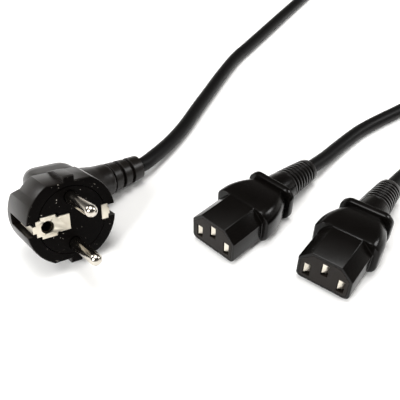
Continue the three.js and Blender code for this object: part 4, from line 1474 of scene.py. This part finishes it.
@dataclass
class Splitter:
    """The moulded Y that joins the main cord to the two tails."""

    at: tuple[float, float] = (161.5, 351.9)
    turn: float = -20.0
    height: float = 14.0
    tail_offset: float = 7.2
    relief_start: float = 14.0
    grooves: int = 4
    groove_pitch: float = 3.0

    def place(self) -> Matrix:
        """Say where the splitter lies.

        Returns:
            Its place in the frame.
        """
        at = Vector((*self.at, 0.0)) - MIDDLE
        return Matrix.Translation(at) @ Matrix.Rotation(math.radians(self.turn), 4, "Z")

    def hull_ring(self, y: float, half_x: float, half_z: float) -> Ring:
        """Stand one rounded section of the hull across Y.

        Args:
            y: Where it stands.
            half_x: Half its width.
            half_z: Half its height.

        Returns:
            The ring's points.
        """
        middle = self.height / 2
        radius = min(5.5, half_x - 0.2, half_z - 0.2)
        corners = [
            Corner(-half_x, middle - half_z, radius),
            Corner(half_x, middle - half_z, radius),
            Corner(half_x, middle + half_z, radius),
            Corner(-half_x, middle + half_z, radius),
        ]
        return [Vector((p.x, y, p.y)) for p in rounded_outline(corners, 9)]

    def relief_radius(self, y: float, end: float) -> float:
        """Say how thick a relief is before its grooves are cut.

        Args:
            y: Where along it.
            end: Where it ends.

        Returns:
            The radius.
        """
        start = self.relief_start
        return 6.4 - 1.4 * (y - start - 2) / (end - start - 2)

    def relief(self, x: float, way: int, length: float) -> bpy.types.Object:
        """Make one strain relief.

        Args:
            x: How far off the middle it is.
            way: 1 for the main cord's end and -1 for the tails' end.
            length: How far it reaches out of the hull.

        Returns:
            The relief.
        """
        start = self.relief_start
        end = start + 2.0 + length
        steps = [(start, 6.0), (start + 2.0, 6.4)]
        first = end - 14.0
        for k in range(self.grooves):
            y = first + k * self.groove_pitch
            radius = self.relief_radius(y, end)
            steps += [
                (y, radius),
                (y + 0.12, radius - 0.15),
                (y + 0.2, radius - 0.9),
                (y + 1.0, radius - 0.9),
                (y + 1.08, radius - 0.15),
                (y + 1.2, radius),
            ]
        steps += [(end - 0.4, 5.0), (end - 0.1, 4.85), (end, 4.6), (end, 3.45), (end - 3.0, 3.4)]
        rings = []
        for y, r in steps:
            share = (y - start) / (end - start)
            centre = Vector((x, self.height / 2 - 1.1 * share**2))
            rings.append([Vector((p.x, way * y, p.y)) for p in round_outline(r, 36, centre, 0)])
        return skin("relief", rings, self.place())

    def build_body(self) -> bpy.types.Object:
        """Make the hull and join its three reliefs.

        Returns:
            The overmoulding.
        """
        stations = (
            (-16.0, 11.9, 6.2),
            (-15.7, 12.5, 6.6),
            (-15.2, 13.0, 6.85),
            (-13.5, 13.5, 7.0),
            (2.0, 13.5, 7.0),
            (5.0, 13.2, 7.0),
            (8.0, 12.3, 7.0),
            (11.0, 10.9, 6.95),
            (13.5, 9.4, 6.85),
            (15.2, 8.4, 6.6),
            (16.0, 7.5, 6.1),
        )
        hull = skin("splitter_moulding", [self.hull_ring(*s) for s in stations], self.place())
        reliefs = [
            self.relief(0.0, 1, 24.0),
            self.relief(-self.tail_offset, -1, 21.0),
            self.relief(self.tail_offset, -1, 21.0),
        ]
        combine(hull, reliefs, Join.UNION)
        smooth(hull, 32)
        return dress(hull, PLUG, "moulding", "splitter_body")

    def dress_inside(self) -> None:
        """Finish the splices and the cores."""
        for pole in Pole:
            finish_node(f"splitter_splice_{pole.value}", CONTACT)
            for group in ("main", "left", "right"):
                finish_node(f"splitter_{group}_core_{pole.value}", CORES[pole])


# Studio


@dataclass
class Studio:
    """A pale floor, soft lights and the camera at the photo's angle."""

    camera_height: float = 163.796
    pitch_down: float = 42.207
    lens: float = 49.104
    floor_size: float = 6.0
    floor_colour: str = "fbfbfa"
    warmth: tuple[float, float] = (0.965, 0.92)

    def build_camera(self) -> None:
        """Place the camera at the photo's angle, as fitted to the pins and the slots."""
        data = bpy.data.cameras.new("camera")
        data.lens = self.lens
        data.sensor_width = 36.0
        data.clip_start = 0.005
        camera = bpy.data.objects.new("camera", data)
        camera.location = (Vector((0, 0, self.camera_height)) - MIDDLE) * MM
        camera.rotation_euler = Euler((math.radians(90 - self.pitch_down), 0, 0))
        bpy.context.scene.collection.objects.link(camera)
        bpy.context.scene.camera = camera

    def build_floor(self) -> None:
        """Lay the floor sheet just under the object."""
        mesh = bmesh.new()
        half = self.floor_size / 2
        corners = ((-half, -half), (half, -half), (half, half), (-half, half))
        mesh.faces.new([mesh.verts.new((x, y, 0.0)) for x, y in corners])
        floor = linked("floor", mesh)
        material, output = new_material("matt_white_paper")
        tree = material.node_tree
        place = add_node(tree, "ShaderNodeTexCoord").outputs["Object"]
        fibre = add_node(tree, "ShaderNodeTexNoise", {"Scale": 900.0, "Detail": 2.0}, {"Vector": place})
        bump = add_node(
            tree, "ShaderNodeBump", {"Strength": 0.1, "Distance": 0.00002}, {"Height": fibre.outputs["Fac"]}
        )
        shader = add_node(
            tree,
            "ShaderNodeBsdfPrincipled",
            {"Base Color": linear(self.floor_colour), "Roughness": 0.9, "Specular IOR Level": 0.1},
            {"Normal": bump.outputs["Normal"]},
        )
        tree.links.new(shader.outputs["BSDF"], output.inputs["Surface"])
        floor.data.materials.append(material)

    def build_world(self) -> None:
        """Light the room: a bright band at the horizon, a dark sky and a bright patch overhead."""
        world = bpy.data.worlds.new("studio")
        bpy.context.scene.world = world
        world.use_nodes = True
        tree = world.node_tree
        tree.nodes.clear()
        output = add_node(tree, "ShaderNodeOutputWorld")
        way = add_node(tree, "ShaderNodeTexCoord").outputs["Generated"]
        height = add_node(tree, "ShaderNodeSeparateXYZ", {}, {0: way}).outputs["Z"]
        ramp = add_node(tree, "ShaderNodeValToRGB", {}, {"Fac": height})
        stops = ((0.0, 0.9), (0.1, 0.85), (0.26, 0.1), (0.6, 0.03), (0.8, 0.05), (0.93, 1.0))
        elements = ramp.color_ramp.elements
        while len(elements) < len(stops):
            elements.new(0.5)
        green, blue = self.warmth
        for element, (at, level) in zip(elements, stops):
            element.position = at
            element.color = (level, level * green, level * blue, 1.0)
        shader = add_node(tree, "ShaderNodeBackground", {"Strength": 1.0}, {"Color": ramp.outputs["Color"]})
        tree.links.new(shader.outputs["Background"], output.inputs["Surface"])

    def build_light(self, name: str, at: tuple, aim: tuple, size: float, power: float) -> None:
        """Hang one soft square light.

        Args:
            name: Its name.
            at: Where it hangs, in metres.
            aim: The point that it faces.
            size: Its side, in metres.
            power: Its power, in watts.
        """
        data = bpy.data.lights.new(name, "AREA")
        data.shape = "SQUARE"
        data.size = size
        data.energy = power
        light = bpy.data.objects.new(name, data)
        light.location = at
        light.rotation_euler = (Vector(aim) - Vector(at)).to_track_quat("-Z", "Y").to_euler()
        bpy.context.scene.collection.objects.link(light)

    def build_lights(self) -> None:
        """Hang the key light at the front left, and soft lights overhead and at the sides."""
        self.build_light("key", (-0.65, -0.9, 0.72), (0, -0.05, 0), 0.4, 11)
        self.build_light("top", (0.0, 0.0, 1.5), (0, 0, 0), 0.7, 12)
        self.build_light("right", (1.1, 0.1, 0.8), (0, 0, 0), 0.4, 6)
        self.build_light("left", (-1.1, 0.3, 0.8), (0, 0, 0), 0.4, 6)

    def set_tone(self) -> None:
        """Keep the paper white and the PVC black, with no film curve between."""
        bpy.context.scene.view_settings.view_transform = "Standard"


PLUG = PLUG_SKIN.material()
CONNECTOR = CONNECTOR_SKIN.material()
CARRIER = CARRIER_SKIN.material()
BRIDGE = BRIDGE_SKIN.material()
SHEATH = SHEATH_SKIN.material()
TIE = TIE_SKIN.material()
PIN = PIN_PLATE.material()
STRIP = STRIP_PLATE.material()
CONTACT = CONTACT_PLATE.material()
SLEEVE_WITH_PAINTED_SHADE = SLEEVE_METAL_WITH_PAINTED_SHADE.material()
CORES = {pole: skin_of.material() for pole, skin_of in CORE_SKINS.items()}


def main() -> None:
    """Build the studio, the cords and then every sub-assembly."""
    logging.basicConfig(level=logging.INFO, format="%(message)s")
    studio = Studio()
    studio.build_camera()
    Lead().build_all()
    plug = Plug()
    plug.build_body()
    plug.build_pin("plug_pin_upper", 1)
    plug.build_pin("plug_pin_lower", -1)
    plug.build_earth_plate()
    plug.build_earth_sleeve()
    plug.build_earth_clip()
    plug.dress_inside()
    for side, origin, turn in (("left", (5.0, 149.4), -44.4), ("right", (45.5, 130.05), -36.6)):
        connector = Connector(side, origin, turn)
        connector.build_body()
        connector.dress_inside()
    splitter = Splitter()
    splitter.build_body()
    splitter.dress_inside()
    studio.build_floor()
    studio.build_world()
    studio.build_lights()
    studio.set_tone()


if __name__ == "__main__":
    main()
